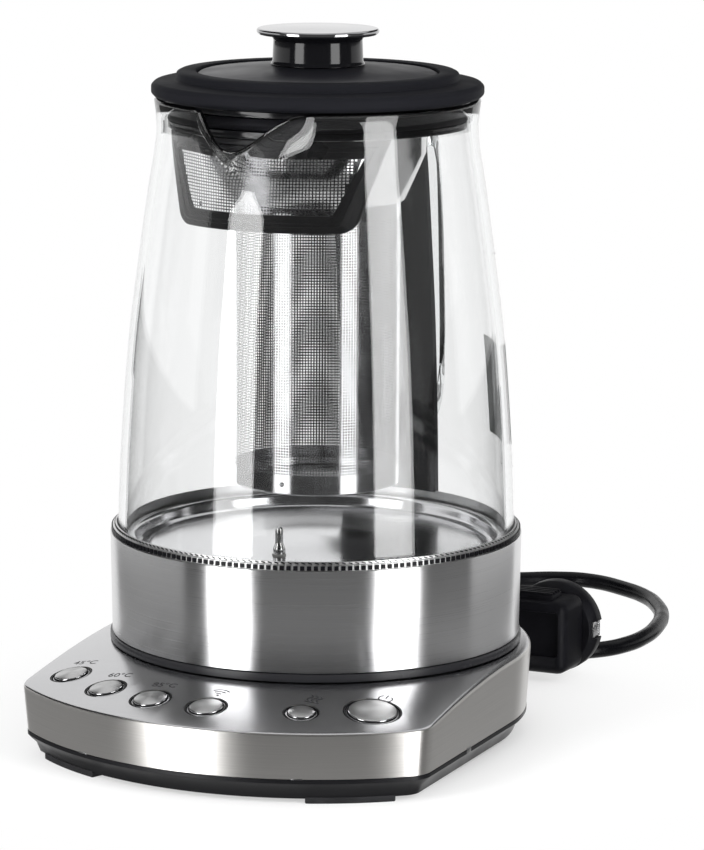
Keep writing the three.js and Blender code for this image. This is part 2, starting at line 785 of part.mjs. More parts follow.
// The jug's outer wall grown by a gap, without its spout, to cut what meets it
const rowHeights = rowShares.map((share) => bandTop + glassHeight * share);
const wallCutter = (gap) => lathe([
  [0, bandTop - overrun], [glassFootRadius + gap, bandTop - overrun],
  ...rowHeights.map((height) => [wallRadius(height) + gap, height]),
  [0, rimTop],
]);

// Glass handle: a flat strap bent into a loop, both ends fused to the rear of the wall
const handleCurve = (shares) => {
  const curve = new THREE.SplineCurve(shares.map(([reach, rise]) => new THREE.Vector2(
    handleReach * reach, handleLow + (handleHigh - handleLow) * rise,
  )));
  return curve.getPoints(handleCurveSteps);
};
const handleOuter = handleCurve(handleOuterShares);
const handleInner = handleCurve(handleInnerShares);
const handleShape = new THREE.Shape([
  new THREE.Vector2(handleRootRadius, handleHigh), ...handleOuter,
  new THREE.Vector2(handleRootRadius, handleLow),
  new THREE.Vector2(handleRootRadius, handleInner.at(-1).y), ...handleInner.reverse(),
  new THREE.Vector2(handleRootRadius, handleInner.at(-1).y),
]);
const toSide = new THREE.Matrix4().makeBasis(
  new THREE.Vector3(0, 1, 0), new THREE.Vector3(0, 0, 1), new THREE.Vector3(1, 0, 0),
);
const handleBlock = solid(new THREE.ExtrudeGeometry(handleShape, { depth: handleWidth, bevelEnabled: false })
  .applyMatrix4(toSide).translate(-handleWidth / 2, 0, 0));
add('glass_handle', cut(handleBlock, wallCutter(seatGap)), clearGlass);

// Guard strip: black, along the rear of the wall, with a window for each arm of the handle
const guardBottom = bandTop + rimRingRise + seatGap;
const guardHeights = [
  guardBottom, ...rowHeights.filter((height) => height > guardBottom && height < guardTop), guardTop,
];
const guardRings = guardHeights.map((height) => {
  const inner = wallRadius(height) + seatGap;
  const half = Math.asin(guardHalfWidth / inner);
  const row = (radius) => Array.from({ length: guardColumns + 1 }, (_, i) =>
    point(radius, Math.PI - half + (2 * half * i) / guardColumns, height));
  return [...row(inner + guardWall), ...row(inner).reverse()];
});
const windowWidth = handleWidth + 2 * seatGap;
const armWindow = (low, high) => block(windowWidth, guardWall + 4 * overrun, low - seatGap, high + seatGap)
  .translate(0, wallRadius((low + high) / 2) + guardWall / 2, 0);
add('handle_guard', cut(
  loft(guardRings),
  armWindow(handleInner.at(-1).y, handleOuter.at(0).y),
  armWindow(handleLow, handleInner.at(0).y + armRoom),
), blackPlastic);

// Steel band round the foot of the jug, on the foot ring
add('steel_band', lathe([
  [bandFootRadius - bandWall, bandBottom], [bandFootRadius, bandBottom], [bandRimRadius, bandTop],
  [bandRimRadius - bandWall, bandTop], [bandFootRadius - bandWall, bandBottom],
]), brushedSteel);
add('rim_ring', ring(
  glassFootRadius + glassGap, bandFootRadius - bandWall - seatGap / 2, glassBottom, bandTop + rimRingRise,
), glossBlack);

// Bottom plate with the foot ring that the jug stands on
const footBottom = baseHeight + seatGap;
const upstandRadius = bandFootRadius - bandWall - seatGap;
const socketRadius = hubRadius + 2 * slideGap + socketWall;
const plateTop = bandBottom + bottomPlateWall;
const bottomPlate = lathe([
  [footRingRadius, footBottom], [footRingRadius, footTop], [upstandRadius, footTop],
  [upstandRadius, bandBottom + bottomUpstand], [upstandRadius - bottomPlateWall, bandBottom + bottomUpstand],
  [upstandRadius - bottomPlateWall, plateTop], [socketRadius + slideGap, plateTop],
  [socketRadius + slideGap, bandBottom], [footRingRadius - footRingWall, bandBottom],
  [footRingRadius - footRingWall, footBottom], [footRingRadius, footBottom],
]);
const studAngles = [0, 1, 2].map((i) => (2 * Math.PI * (i + 0.5)) / 3);
const atStuds = (geometry) => studAngles.map((angle) => {
  const spot = point(studDistance, angle, 0);
  return geometry.clone().translate(spot.x, spot.y, 0);
});
add('jug_bottom', cut(bottomPlate, ...atStuds(screwHole(footBottom, plateTop + overrun))), blackPlastic);
studAngles.forEach((angle, i) => {
  const screw = add(`bottom_screw_${i + 1}`, screwGeometry, brushedSteel);
  screw.position.copy(point(studDistance, angle, bandBottom - seatGap));
});

// Socket of the jug: drops over the hub and turns on it
const bladeRadius = hubSlotRadius + (hubSlotWidth - socketBladeWall) / 2;
const socketCeiling = hubTop + 2 * slideGap;
const bladeEnd = hubSlotFloor + contactHeight + 2 * slideGap;
add('jug_socket', lathe([
  [0, bladeEnd], [socketPinRadius, bladeEnd], [socketPinRadius, socketCeiling],
  [bladeRadius, socketCeiling], [bladeRadius, bladeEnd],
  [bladeRadius + socketBladeWall, bladeEnd], [bladeRadius + socketBladeWall, socketCeiling],
  [socketRadius - socketWall, socketCeiling], [socketRadius - socketWall, footTop],
  [socketRadius, footTop], [socketRadius, socketTop], [0, socketTop],
], midSegments), blackPlastic);

// Heater plate: the steel floor of the jug, with studs for the bottom plate
const plateRadius = glassFootRadius - glassWall - glassGap;
const skirtRadius = glassFootRadius - glassWall - sealWidth - seatGap;
const grooveOuter = skirtRadius - plateWall;
const grooveInner = grooveOuter - plateGrooveWidth;
const plateUnder = plateHeight - plateWall;
const skirtBottom = glassBottom - seatGap;
const heaterPlate = lathe([
  [0, plateHeight + plateDome], [plateCentreRadius / 2, plateHeight + plateDome * plateDomeShare],
  [plateCentreRadius, plateHeight], [grooveInner, plateHeight],
  [grooveInner, plateHeight - plateGrooveDepth], [grooveOuter, plateHeight - plateGrooveDepth],
  [grooveOuter, plateHeight], [plateRadius, plateHeight], [plateRadius, plateUnder],
  [skirtRadius, plateUnder], [skirtRadius, skirtBottom], [skirtRadius - plateWall, skirtBottom],
  [skirtRadius - plateWall, plateUnder - plateGrooveDepth],
  [grooveInner - plateWall, plateUnder - plateGrooveDepth],
  [grooveInner - plateWall, plateUnder], [0, plateUnder],
]);
const stud = rod(studRadius, plateTop + seatGap, plateUnder + plateWall / 2);
const studHole = screwHole(plateTop, bandBottom + screwLength);
const sensorSpot = point(sensorDistance, 0, 0);
const atSensor = (geometry) => geometry.translate(sensorSpot.x, sensorSpot.y, 0);
const grommetRadius = sensorRadius + seatGap + grommetWall;
add('heater_plate', cut(
  join(heaterPlate, ...atStuds(stud)),
  ...atStuds(studHole),
  atSensor(rod(grommetRadius + seatGap, spreaderBottom, plateHeight + overrun)),
), polishedSteel);
add('jug_seal', lathe([
  [skirtRadius + seatGap, glassBottom], [skirtRadius + sealWidth - glassFlangeWidth, glassBottom],
  [skirtRadius + sealWidth - glassFlangeWidth, glassFloor + seatGap], [plateRadius, glassFloor + seatGap],
  [plateRadius, glassFloor + seatGap + sealWall], [skirtRadius + seatGap, glassFloor + seatGap + sealWall],
  [skirtRadius + seatGap, glassBottom],
]), paleSilicone);

// Sensor pin in its grommet
add('sensor_grommet', atSensor(lathe([
  [sensorRadius + seatGap, plateUnder], [grommetRadius, plateUnder], [grommetRadius, plateHeight + seatGap],
  [grommetRadius + grommetLip, plateHeight + seatGap],
  [grommetRadius + grommetLip, plateHeight + seatGap + grommetLip],
  [sensorRadius + seatGap, plateHeight + seatGap + grommetLip], [sensorRadius + seatGap, plateUnder],
], smallSegments)), paleSilicone);
add('sensor_pin', atSensor(lathe([
  [0, plateHeight - sensorDrop], [sensorRadius, plateHeight - sensorDrop],
  [sensorRadius, plateHeight + sensorRise - sensorRadius / 2],
  [sensorRadius / 2, plateHeight + sensorRise], [0, plateHeight + sensorRise],
], smallSegments)), polishedSteel);

// Heat spreader, heating element and thermal control under the plate
add('heat_spreader', cut(
  rod(spreaderRadius, spreaderBottom, spreaderTop, ringSegments),
  atSensor(rod(grommetRadius + seatGap, spreaderBottom - overrun, spreaderTop + overrun)),
), aluminium);
const elementHeight = spreaderBottom - seatGap - elementTubeRadius;
const elementRings = [];
for (let i = 0; i <= elementSteps; i += 1) {
  const angle = Math.PI + radians(elementSweep) * (i / elementSteps - 0.5);
  elementRings.push(Array.from({ length: elementSides }, (_, k) => {
    const turn = (2 * Math.PI * k) / elementSides;
    return point(elementRadius + elementTubeRadius * Math.cos(turn), angle,
      elementHeight + elementTubeRadius * Math.sin(turn));
  }));
}
add('heating_element', loft(elementRings), brushedSteel);
add('heater_control', block(
  controlWidth, controlWidth, socketTop + seatGap, spreaderBottom - seatGap,
), blackPlastic);

// Ring lid on the rim of the jug
const funnelBore = funnelRadius + slideGap;
const lidBore = innerLidRadius + slideGap;
add('ring_lid', lathe([
  [funnelBore, lidBottom], [lidFlangeRadius - lidEdge, lidBottom], [lidFlangeRadius, lidBottom + lidEdge],
  [lidFlangeRadius, lidBottom + lidFlangeHeight - lidEdge],
  [lidFlangeRadius - lidEdge, lidBottom + lidFlangeHeight],
  [lidTierRadius, lidBottom + lidFlangeHeight + lidCrown],
  [lidTierRadius, lidTop - lidEdge / 2], [lidTierRadius - lidEdge, lidTop],
  [lidBore, lidTop], [lidBore, lidLedge], [funnelBore, lidLedge], [funnelBore, lidBottom],
]), blackPlastic);

// Collar below the ring lid, with a silicone seal in its groove
const collarTop = lidBottom - seatGap;
const collarBottom = collarTop - collarHeight;
const grooveMiddle = collarTop - collarHeight / 2;
const grooveHalf = lidSealHeight / 2 + seatGap;
const collarInner = collarRadius - collarThickness;
add('lid_collar', lathe([
  [collarInner, collarBottom], [collarRadius, collarBottom], [collarRadius, grooveMiddle - grooveHalf],
  [collarRadius - sealGroove, grooveMiddle - grooveHalf],
  [collarRadius - sealGroove, grooveMiddle + grooveHalf],
  [collarRadius, grooveMiddle + grooveHalf], [collarRadius, collarTop],
  [collarInner, collarTop], [collarInner, collarBottom],
]), glossBlack);
add('lid_seal', lathe([
  [collarRadius - sealGroove + seatGap, grooveMiddle - lidSealHeight / 2],
  [collarRadius, grooveMiddle - lidSealHeight / 2], [collarRadius + lidSealReach, grooveMiddle],
  [collarRadius, grooveMiddle + lidSealHeight / 2],
  [collarRadius - sealGroove + seatGap, grooveMiddle + lidSealHeight / 2],
  [collarRadius - sealGroove + seatGap, grooveMiddle - lidSealHeight / 2],
]), rubberBlack);

// Strainer behind the spout: a curved frame with a fine perforated panel
const strainerTop = collarBottom - seatGap;
const strainerBottom = strainerTop - strainerHeight;
function strainerOutline(inset, Outline) {
  const corner = strainerCorner - inset / 4;
  const low = strainerBottom + inset;
  const high = strainerTop - inset;
  const lowHalf = strainerHalfWidth - inset;
  const highHalf = strainerHalfWidth + strainerFlare - inset;
  const outline = new Outline();
  outline.moveTo(-highHalf, high);
  outline.lineTo(-lowHalf, low + corner);
  outline.quadraticCurveTo(-lowHalf, low, -lowHalf + corner, low);
  outline.lineTo(lowHalf - corner, low);
  outline.quadraticCurveTo(lowHalf, low, lowHalf, low + corner);
  outline.lineTo(highHalf, high);
  outline.lineTo(-highHalf, high);
  return outline;
}
const strainerPrism = (shape) => solid(new THREE.ExtrudeGeometry(shape, {
  depth: strainerRadius, bevelEnabled: false, curveSegments: 3,
}).rotateX(Math.PI / 2));
const strainerShape = strainerOutline(0, THREE.Shape);
strainerShape.holes.push(strainerOutline(strainerBorder, THREE.Path));
const strainerShell = (outer, wall) =>
  ring(outer - wall, outer, strainerBottom - overrun, strainerTop + overrun / 2);
const meshOuter = strainerRadius - (strainerWall - strainerMeshWall) / 2;
add('strainer_frame', common(
  strainerShell(strainerRadius, strainerWall),
  strainerPrism(strainerShape),
), blackPlastic);
add('strainer_mesh', common(
  strainerShell(meshOuter, strainerMeshWall),
  strainerPrism(strainerOutline(strainerBorder + seatGap, THREE.Shape)),
), polishedSteel);

// Infuser: a funnel that hangs in the ring lid, the perforated tube and its bottom cap
const coneTop = infuserSeam + funnelConeHeight;
const sleeveRadius = tubeRadius + seatGap;
add('infuser_funnel', lathe([
  [sleeveRadius, infuserSeam], [funnelFootRadius, infuserSeam], [funnelRadius, coneTop],
  [funnelRadius, lidLedge + seatGap], [funnelRadius + funnelRimWidth, lidLedge + seatGap],
  [funnelRadius + funnelRimWidth, lidLedge + seatGap + funnelWall],
  [funnelRadius - funnelWall, lidLedge + seatGap + funnelWall],
  [funnelRadius - funnelWall, coneTop + funnelWall], [sleeveRadius, infuserSeam + funnelSleeve],
  [sleeveRadius, infuserSeam],
], midSegments), polishedSteel);
add('infuser_tube', ring(
  tubeRadius - tubeWall, tubeRadius, infuserBottom + tubeWall + seatGap, infuserSeam + funnelSleeve,
  midSegments,
), brushedSteel);
const capRadius = tubeRadius - tubeWall - seatGap;
add('infuser_bottom', lathe([
  [0, infuserBottom], [tubeRadius, infuserBottom], [tubeRadius, infuserBottom + tubeWall],
  [capRadius, infuserBottom + tubeWall], [capRadius, infuserBottom + infuserCapHeight],
  [capRadius - tubeWall, infuserBottom + infuserCapHeight], [capRadius - tubeWall, infuserBottom + tubeWall],
  [0, infuserBottom + tubeWall],
], midSegments), brushedSteel);

// Inner lid with its seal
const plugRadius = funnelRadius - funnelWall - innerSealGap;
const plugCore = plugRadius - plugWall;
const plugBottom = innerLidBottom - plugDepth;
const lipTop = plugBottom + plugLipHeight;
const crownTop = innerLidTop + innerLidCrown;
const lidCentre = rod(knobScrewRadius + seatGap, innerLidBottom, crownTop + overrun);
add('inner_lid', cut(lathe([
  [0, crownTop - innerLidWall], [knobStemRadius, crownTop - innerLidWall],
  [plugCore - plugWall, innerLidBottom], [plugCore - plugWall, plugBottom],
  [plugRadius, plugBottom], [plugRadius, lipTop], [plugCore, lipTop], [plugCore, innerLidBottom],
  [innerLidRadius, innerLidBottom], [innerLidRadius, innerLidTop - lidEdge / 2],
  [innerLidRadius - lidEdge, innerLidTop], [knobStemRadius, crownTop], [0, crownTop],
], midSegments), lidCentre), blackPlastic);
add('inner_lid_seal', ring(
  plugCore + seatGap, plugRadius, lipTop + seatGap, lipTop + seatGap + innerSealHeight, midSegments,
), rubberBlack);

// Knob: black stem, steel cap, and a screw from inside the inner lid
const boreTop = knobBottom + knobScrewDepth + seatGap;
add('knob_stem', lathe([
  [knobScrewRadius + seatGap, knobBottom], [knobStemRadius, knobBottom], [knobStemRadius, knobTop],
  [0, knobTop], [0, boreTop], [knobScrewRadius + seatGap, boreTop], [knobScrewRadius + seatGap, knobBottom],
], midSegments), glossBlack);
const capBottom = knobTop + seatGap;
const capShoulder = capBottom + knobCapHeight;
add('knob_cap', lathe([
  [0, capBottom], [knobCapRadius - knobCapHeight / 3, capBottom],
  [knobCapRadius, capBottom + knobCapHeight / 3], [knobCapRadius, capShoulder - knobCapCrown],
  [knobCapRadius - knobCapCrown, capShoulder], [knobCapRadius / 2, capShoulder + knobCapCrown / 2],
  [0, capShoulder + knobCapCrown],
], midSegments), polishedSteel);
const screwSeat = crownTop - innerLidWall - seatGap;
add('knob_screw', lathe([
  [0, screwSeat - screwHeadHeight], [knobScrewHeadRadius, screwSeat - screwHeadHeight],
  [knobScrewHeadRadius, screwSeat], [knobScrewRadius, screwSeat],
  [knobScrewRadius, knobBottom + knobScrewDepth], [0, knobBottom + knobScrewDepth],
], tinySegments), brushedSteel);

// Gland of the lead in the rear wall of the base
const wallInside = baseRearRadius - chassisInset - chassisWall;
const wallRear = Math.sqrt(wallInside ** 2 - glandFlangeRadius ** 2) - 2 * seatGap;
add('cord_gland', lathe([
  [0, wallRear - glandFlange], [glandFlangeRadius, wallRear - glandFlange], [glandFlangeRadius, wallRear],
  [glandRadius, wallRear], [glandRadius, baseRearRadius + glandFlange],
  [glandEndRadius, glandReach], [0, glandReach],
], tinySegments).rotateX(-Math.PI / 2).translate(0, 0, glandHeight), rubberBlack);

// Plug: a round earthed plug lying on the table, its pins pointing away from the kettle
const plug = new THREE.Group();
plug.position.set(plugCentre[0], 0, plugCentre[1]);
kettle.add(plug);
const alongY = (geometry) => geometry.rotateX(-Math.PI / 2);
const discBack = plugFaceY - plugDiscHeight;
const plugDisc = alongY(rod(plugDiscRadius, discBack, plugFaceY, midSegments));
const plugBack = discBack - plugBodyDepth;
const halfWidth = plugBodyWidth / 2;
const halfHeight = plugBodyHeight / 2;
const backSection = (grow, y) => {
  const [w, h] = [halfWidth - grow, halfHeight - grow];
  const corner = plugBevel;
  return [
    [w, -h + corner], [w, h - corner], [w - corner, h], [-w + corner, h],
    [-w, h - corner], [-w, -h + corner], [-w + corner, -h], [w - corner, -h],
  ].map(([x, z]) => new THREE.Vector3(x, y, z));
};
const plugHousing = loft([
  backSection(plugBevel, plugBack), backSection(0, plugBack + plugBevel),
  backSection(0, discBack + plugBevel),
]);
const neckLength = plugCentre[0] - plugNeckEndX;
const plugNeck = lathe([
  [0, 0], [plugNeckRadius, 0], [plugNeckRadius, halfWidth],
  [plugNeckEndRadius, neckLength], [0, neckLength],
], tinySegments).rotateY(-Math.PI / 2).translate(0, plugNeckY, 0);
const notchLength = plugDiscHeight - plugNotchDepth;
const notch = (side) => block(2 * plugNotchDepth, 2 * notchLength, -plugNotchWidth / 2, plugNotchWidth / 2)
  .translate(side * plugDiscRadius, plugFaceY, 0);
const pinTurn = radians(plugPinTilt);
const pinSpots = [1, -1].map((side) => [
  (side * plugPinSpacing * Math.sin(pinTurn)) / 2, (side * plugPinSpacing * Math.cos(pinTurn)) / 2,
]);
const pinSeats = pinSpots.map(([x, z]) =>
  alongY(rod(plugPinRadius + seatGap, plugFaceY - plugPinSeat, plugFaceY + overrun)).translate(x, 0, z));
add('plug_body', cut(
  join(plugDisc, plugHousing, plugNeck),
  notch(1), notch(-1), ...pinSeats,
), rubberBlack, plug);
const pinBack = plugFaceY - plugPinSeat + seatGap;
pinSpots.forEach(([x, z], i) => {
  const pin = add(`plug_pin_${i + 1}`, alongY(lathe([
    [0, pinBack], [plugPinRadius, pinBack], [plugPinRadius, plugFaceY + plugPinLength - plugPinRadius / 2],
    [plugPinRadius / 2, plugFaceY + plugPinLength], [0, plugFaceY + plugPinLength],
  ], tinySegments)), polishedSteel, plug);
  pin.position.set(x, 0, z);
});
const clipLength = notchLength - seatGap;
[['right', 1], ['left', -1]].forEach(([name, side]) => {
  const clip = add(`earth_clip_${name}`, block(
    plugClipWall, clipLength, -plugNotchWidth / 2 + seatGap, plugNotchWidth / 2 - seatGap,
  ), brass, plug);
  clip.position.set(
    side * (plugDiscRadius - plugNotchDepth + seatGap + plugClipWall / 2), plugFaceY - clipLength / 2, 0,
  );
});

// Lead: from the gland, once round a loose loop on the table, and into the neck of the plug
const route = [
  [0, seatGap, glandHeight], [0, 10, 11.2], [1.5, 20, 10.9], [5, 32, 10.4], [11, 45, 8.6],
  [19, 58, 6], [27, 71, 4], [31.5, 84, 3.4], [27, 102.5, 3.4], [13.5, 116, 3.4], [-5, 121, 3.4],
  [-23.5, 116, 3.4], [-37, 102.5, 3.4], [-42, 84, 3.4], [-37, 63, 3.4], [-25, 45, 3.4], [-8, 34, 3.4],
  [8, 29.5, 3.4], [22, 27.5, 3.4], [37, 28, 3.4], [51, 33, 3.4], [61.5, 42, 3.4], [67.5, 55, 3.4],
  [69.5, 70, 3.4], [68, 89, 3.4], [62.5, 111, 3.4], [55, 126.5, 3.4], [46, 139.5, 3.4], [31, 152, 3.4],
  [10, 161, 3.4], [-3, 158.5, 3.4], [-16, 151, 3.4], [-31, 142, 3.4], [-46, 129, 3.4], [-56, 112, 3.4],
  [-60, 92, 3.4], [-58, 72, 3.4], [-52, 52, 4.6], [-38, 32, 9.4], [-20, 16, 15.5],
  [0, 7, 18.8], [10, 4.6, 18.9], [plugNeckEndX - seatGap, plugNeckGap, plugCentre[1]],
].map(([x, y, z]) => new THREE.Vector3(x, glandReach + y, z));
const cordShape = new THREE.Shape(Array.from({ length: cordSides }, (_, i) => {
  const angle = (2 * Math.PI * (i + 0.5)) / cordSides;
  return new THREE.Vector2(cordRadius * Math.cos(angle), cordRadius * Math.sin(angle));
}));
add('power_cord', solid(new THREE.ExtrudeGeometry(cordShape, {
  steps: cordSteps, bevelEnabled: false, extrudePath: new THREE.CatmullRomCurve3(route),
})), rubberBlack);

// The origin is under the middle of the base and the handle, taken together
kettle.position.y = (baseFrontRadius - Math.max(...handleOuter.map((spot) => spot.x))) / 2;

export default kettle;
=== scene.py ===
# The dressed electric tea kettle: glass jug, tea infuser and control base, with the lead and its plug.
# Metres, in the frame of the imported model. The sizes named in a section are millimetres, and its pieces
# are drawn about the jug's own axis until they are settled in their place.

import json
from math import asin, atan2, cos, hypot, pi, radians, sin, sqrt, tan

import bmesh
import bpy
from bmesh.types import BMEdge, BMVert
from mathutils import Matrix, Vector

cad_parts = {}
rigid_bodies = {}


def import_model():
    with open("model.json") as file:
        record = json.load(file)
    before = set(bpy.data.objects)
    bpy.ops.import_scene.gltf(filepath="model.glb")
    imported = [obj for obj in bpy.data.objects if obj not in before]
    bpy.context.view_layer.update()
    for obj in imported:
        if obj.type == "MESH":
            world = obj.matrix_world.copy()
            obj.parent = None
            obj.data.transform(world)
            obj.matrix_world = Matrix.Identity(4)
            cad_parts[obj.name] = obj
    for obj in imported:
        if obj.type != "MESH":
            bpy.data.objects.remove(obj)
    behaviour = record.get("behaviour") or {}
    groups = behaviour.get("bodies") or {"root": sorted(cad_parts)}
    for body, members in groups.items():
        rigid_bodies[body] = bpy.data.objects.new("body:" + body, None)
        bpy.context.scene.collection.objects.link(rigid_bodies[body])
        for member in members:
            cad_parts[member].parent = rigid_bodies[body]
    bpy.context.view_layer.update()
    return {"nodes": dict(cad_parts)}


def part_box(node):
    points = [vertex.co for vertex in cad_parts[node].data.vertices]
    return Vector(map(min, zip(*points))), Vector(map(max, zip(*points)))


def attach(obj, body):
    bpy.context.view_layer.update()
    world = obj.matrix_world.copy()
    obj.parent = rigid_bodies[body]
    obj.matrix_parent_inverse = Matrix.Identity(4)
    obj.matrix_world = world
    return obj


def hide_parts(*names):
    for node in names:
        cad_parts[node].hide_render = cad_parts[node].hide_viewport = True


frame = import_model()
MM = 0.001

# Camera
# The kettle is seen from its front right, a little from above, with a long lens. The jug's own axis
# lies slightly behind the middle of the frame, so it is read from the band that goes round it.

band_low, band_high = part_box("steel_band")
AXIS = Vector((0, (band_low.y + band_high.y) / 2, 0))

camera_turn, camera_tilt, camera_roll = (radians(angle) for angle in (23.5, 10.449, 0.314))
camera_distance, camera_lens, camera_sensor = 1615, 218.85, 36
aim_aside, aim_height = 13.41, 116.74


def polar(reach, turn, height):
    """A place at a reach from the axis, at a turn from the front, and at a height."""
    return Vector((reach * sin(turn), -reach * cos(turn), height))


def adjust(thing, **values):
    """Sets several values of an object, a lamp, a curve, a node or a modifier."""
    for key, value in values.items():
        setattr(thing, key, value)
    return thing


def put(name, data):
    """Adds an object to the scene, at the origin."""
    made = bpy.data.objects.new(name, data)
    bpy.context.scene.collection.objects.link(made)
    return made


to_camera = polar(cos(camera_tilt), camera_turn, sin(camera_tilt))
level = Vector((cos(camera_turn), sin(camera_turn), 0))
across = level * cos(camera_roll) + to_camera.cross(level) * sin(camera_roll)
aim = AXIS + (level * aim_aside + Vector((0, 0, aim_height))) * MM
camera = put("camera", adjust(bpy.data.cameras.new("camera"), sensor_fit="HORIZONTAL", lens=camera_lens,
                              sensor_width=camera_sensor, clip_start=0.05, clip_end=40))
camera_axes = Matrix((across, to_camera.cross(across), to_camera)).transposed().to_4x4()
camera.matrix_world = Matrix.Translation(aim + to_camera * camera_distance * MM) @ camera_axes
bpy.context.scene.camera = camera
bpy.context.scene.view_settings.view_transform = "Standard"

# Table and studio
# A plain pale table, two tall soft boxes with bright faces left and right of the camera, and dark
# walls. The faces and the walls are cards: they light nothing, and only the steel and the glass mirror
# them, more softly for what stands inside the glass. All beyond is white.

room_light = 0.72
table_radius, fade_start, fade_end = 3600, 20, 185
soft_box_turns, soft_box_distance, soft_box_middle = (-24.0, 69.0), 1200, 380
soft_box_width, soft_box_height, soft_box_power = 500, 2100, 24.0
face_low, face_high, face_glow, face_glow_inside = -670, 600, 7.3, 2.3
mirrored_once, behind_both_walls = 0.5, 2.5
wall_distance, wall_steps = 3000, 48
walls = (  # turns from and to, heights from and to, grey in the open and behind the glass
    (-121.5, 168.5, -4000, -750, 0.42, 0.42),
    (-121.5, 168.5, -750, -250, 0.07, 0.03),
    (-52.5, 118, -250, 6000, 0.13, 0.02),
    (-125, -52.5, -250, -60, 0.15, 0.04),
    (118, 165, -250, -120, 0.2, 0.1),
    (-125, -52.5, 700, 4000, 0.03, 0.8),
    (118, 203, 800, 2200, 0.06, 0.04),
)


def feed(node, sockets):
    """Gives sockets of a shader node their values, or wires a node or an output to them."""
    for socket, value in sockets.items():
        if isinstance(value, bpy.types.Node):
            value = value.outputs[0]
        if isinstance(value, bpy.types.NodeSocket):
            node.id_data.links.new(value, node.inputs[socket])
        else:
            node.inputs[socket].default_value = value
    return node


def add_node(tree, kind, sockets=None, **settings):
    """Adds a shader node with its settings and what its sockets are fed."""
    return feed(adjust(tree.nodes.new("ShaderNode" + kind), **settings), sockets or {})


def beyond(tree, value, limit, below, above):
    """Shows one shader up to a limit of a value, and another beyond it."""
    over = add_node(tree, "Math", {0: value, 1: limit}, operation="GREATER_THAN")
    return add_node(tree, "MixShader", {"Fac": over, 1: below, 2: above})


def blank(name):
    """A new material with its own shader."""
    return adjust(bpy.data.materials.new(name), use_nodes=True)


def coat(material, sockets):
    """Gives a material's own shader its values and patterns."""
    feed(material.node_tree.nodes["Principled BSDF"], sockets)


def finish(name, colour, roughness, metallic=0.0, gloss=0.5):
    """A finish with a plain colour and gloss."""
    made = blank(name)
    coat(made, {"Base Color": (*colour, 1), "Roughness": roughness, "Metallic": metallic,
                "Specular IOR Level": gloss})
    return made


def mirrored_only(name, outside, inside):
    """A glow that only mirrors show: one brightness in the open, another behind the glass."""
    made = blank(name)
    tree = made.node_tree
    path = add_node(tree, "LightPath").outputs
    open_glow, inner_glow = (add_node(tree, "Emission", {"Strength": glow}) for glow in (outside, inside))
    glow = beyond(tree, path["Transmission Depth"], behind_both_walls, open_glow, inner_glow)
    seen = beyond(tree, path["Glossy Depth"], mirrored_once, add_node(tree, "BsdfTransparent"), glow)
    feed(tree.nodes["Material Output"], {"Surface": seen})
    return made


def place(name, shape, *finishes):
    """Makes an object of a shape, at the origin, with its finishes."""
    mesh = bpy.data.meshes.new(name)
    shape.to_mesh(mesh)
    shape.free()
    for paint in finishes:
        mesh.materials.append(paint)
    return put(name, mesh)


def sheet(width, height, centre=(0, 0, 0), turn=None, columns=1, rows=1):
    """A flat rectangle about a place, in columns and rows."""
    body = bmesh.new()
    bmesh.ops.create_grid(body, x_segments=columns, y_segments=rows, size=0.5,
                          matrix=Matrix.LocRotScale(Vector(centre), turn, Vector((width, height, 1))))
    return body


def spin(body, geometry, angle, steps, centre=(0, 0, 0), **options):
    """Spins part of a body round an upright axis."""
    return bmesh.ops.spin(body, geom=geometry, cent=centre, axis=(0, 0, 1), angle=angle, steps=steps,
                          **options)


def stage_card(name, shape, paint):
    """Stands a card in the studio that lights nothing and that only mirrors show."""
    card = place(name, shape, paint)
    adjust(card, visible_camera=False, visible_diffuse=False, visible_shadow=False)


world = adjust(bpy.data.worlds.new("studio"), use_nodes=True)
bpy.context.scene.world = world
tree = world.node_tree
tree.nodes.clear()
path = add_node(tree, "LightPath").outputs
seen = add_node(tree, "Math", {0: path["Is Camera Ray"], 1: path["Is Glossy Ray"]}, operation="MAXIMUM")
seen = add_node(tree, "Math", {0: seen, 1: path["Is Transmission Ray"]}, operation="MAXIMUM")
lit, white = (add_node(tree, "Background", {"Color": (1, 1, 1, 1), "Strength": strength})
              for strength in (room_light, 1))
either = add_node(tree, "MixShader", {"Fac": seen, 1: lit, 2: white})
add_node(tree, "OutputWorld", {"Surface": either})

table_top = finish("table_top", (0.95, 0.95, 0.95), 0.9, gloss=0)
tree = table_top.node_tree
path = add_node(tree, "LightPath").outputs
seen = add_node(tree, "Math", {0: path["Is Camera Ray"], 1: path["Is Transmission Ray"]},
                operation="MAXIMUM")
away = add_node(tree, "VectorMath", {0: add_node(tree, "TexCoord").outputs["Object"]}, operation="LENGTH")
fade = add_node(tree, "MapRange", {"Value": away.outputs["Value"], "From Min": fade_start * MM,
                                   "From Max": fade_end * MM}, interpolation_type="SMOOTHSTEP")
share = add_node(tree, "Math", {0: fade, 1: seen}, operation="MULTIPLY")
either = add_node(tree, "MixShader", {"Fac": share, 1: tree.nodes["Principled BSDF"],
                                      2: add_node(tree, "Emission")})
unseen = beyond(tree, path["Glossy Depth"], mirrored_once, either, add_node(tree, "BsdfTransparent"))
feed(tree.nodes["Material Output"], {"Surface": unseen})
shape = bmesh.new()
bmesh.ops.create_circle(shape, cap_ends=True, segments=96, radius=table_radius * MM)
table = adjust(place("table", shape, table_top), visible_glossy=False)

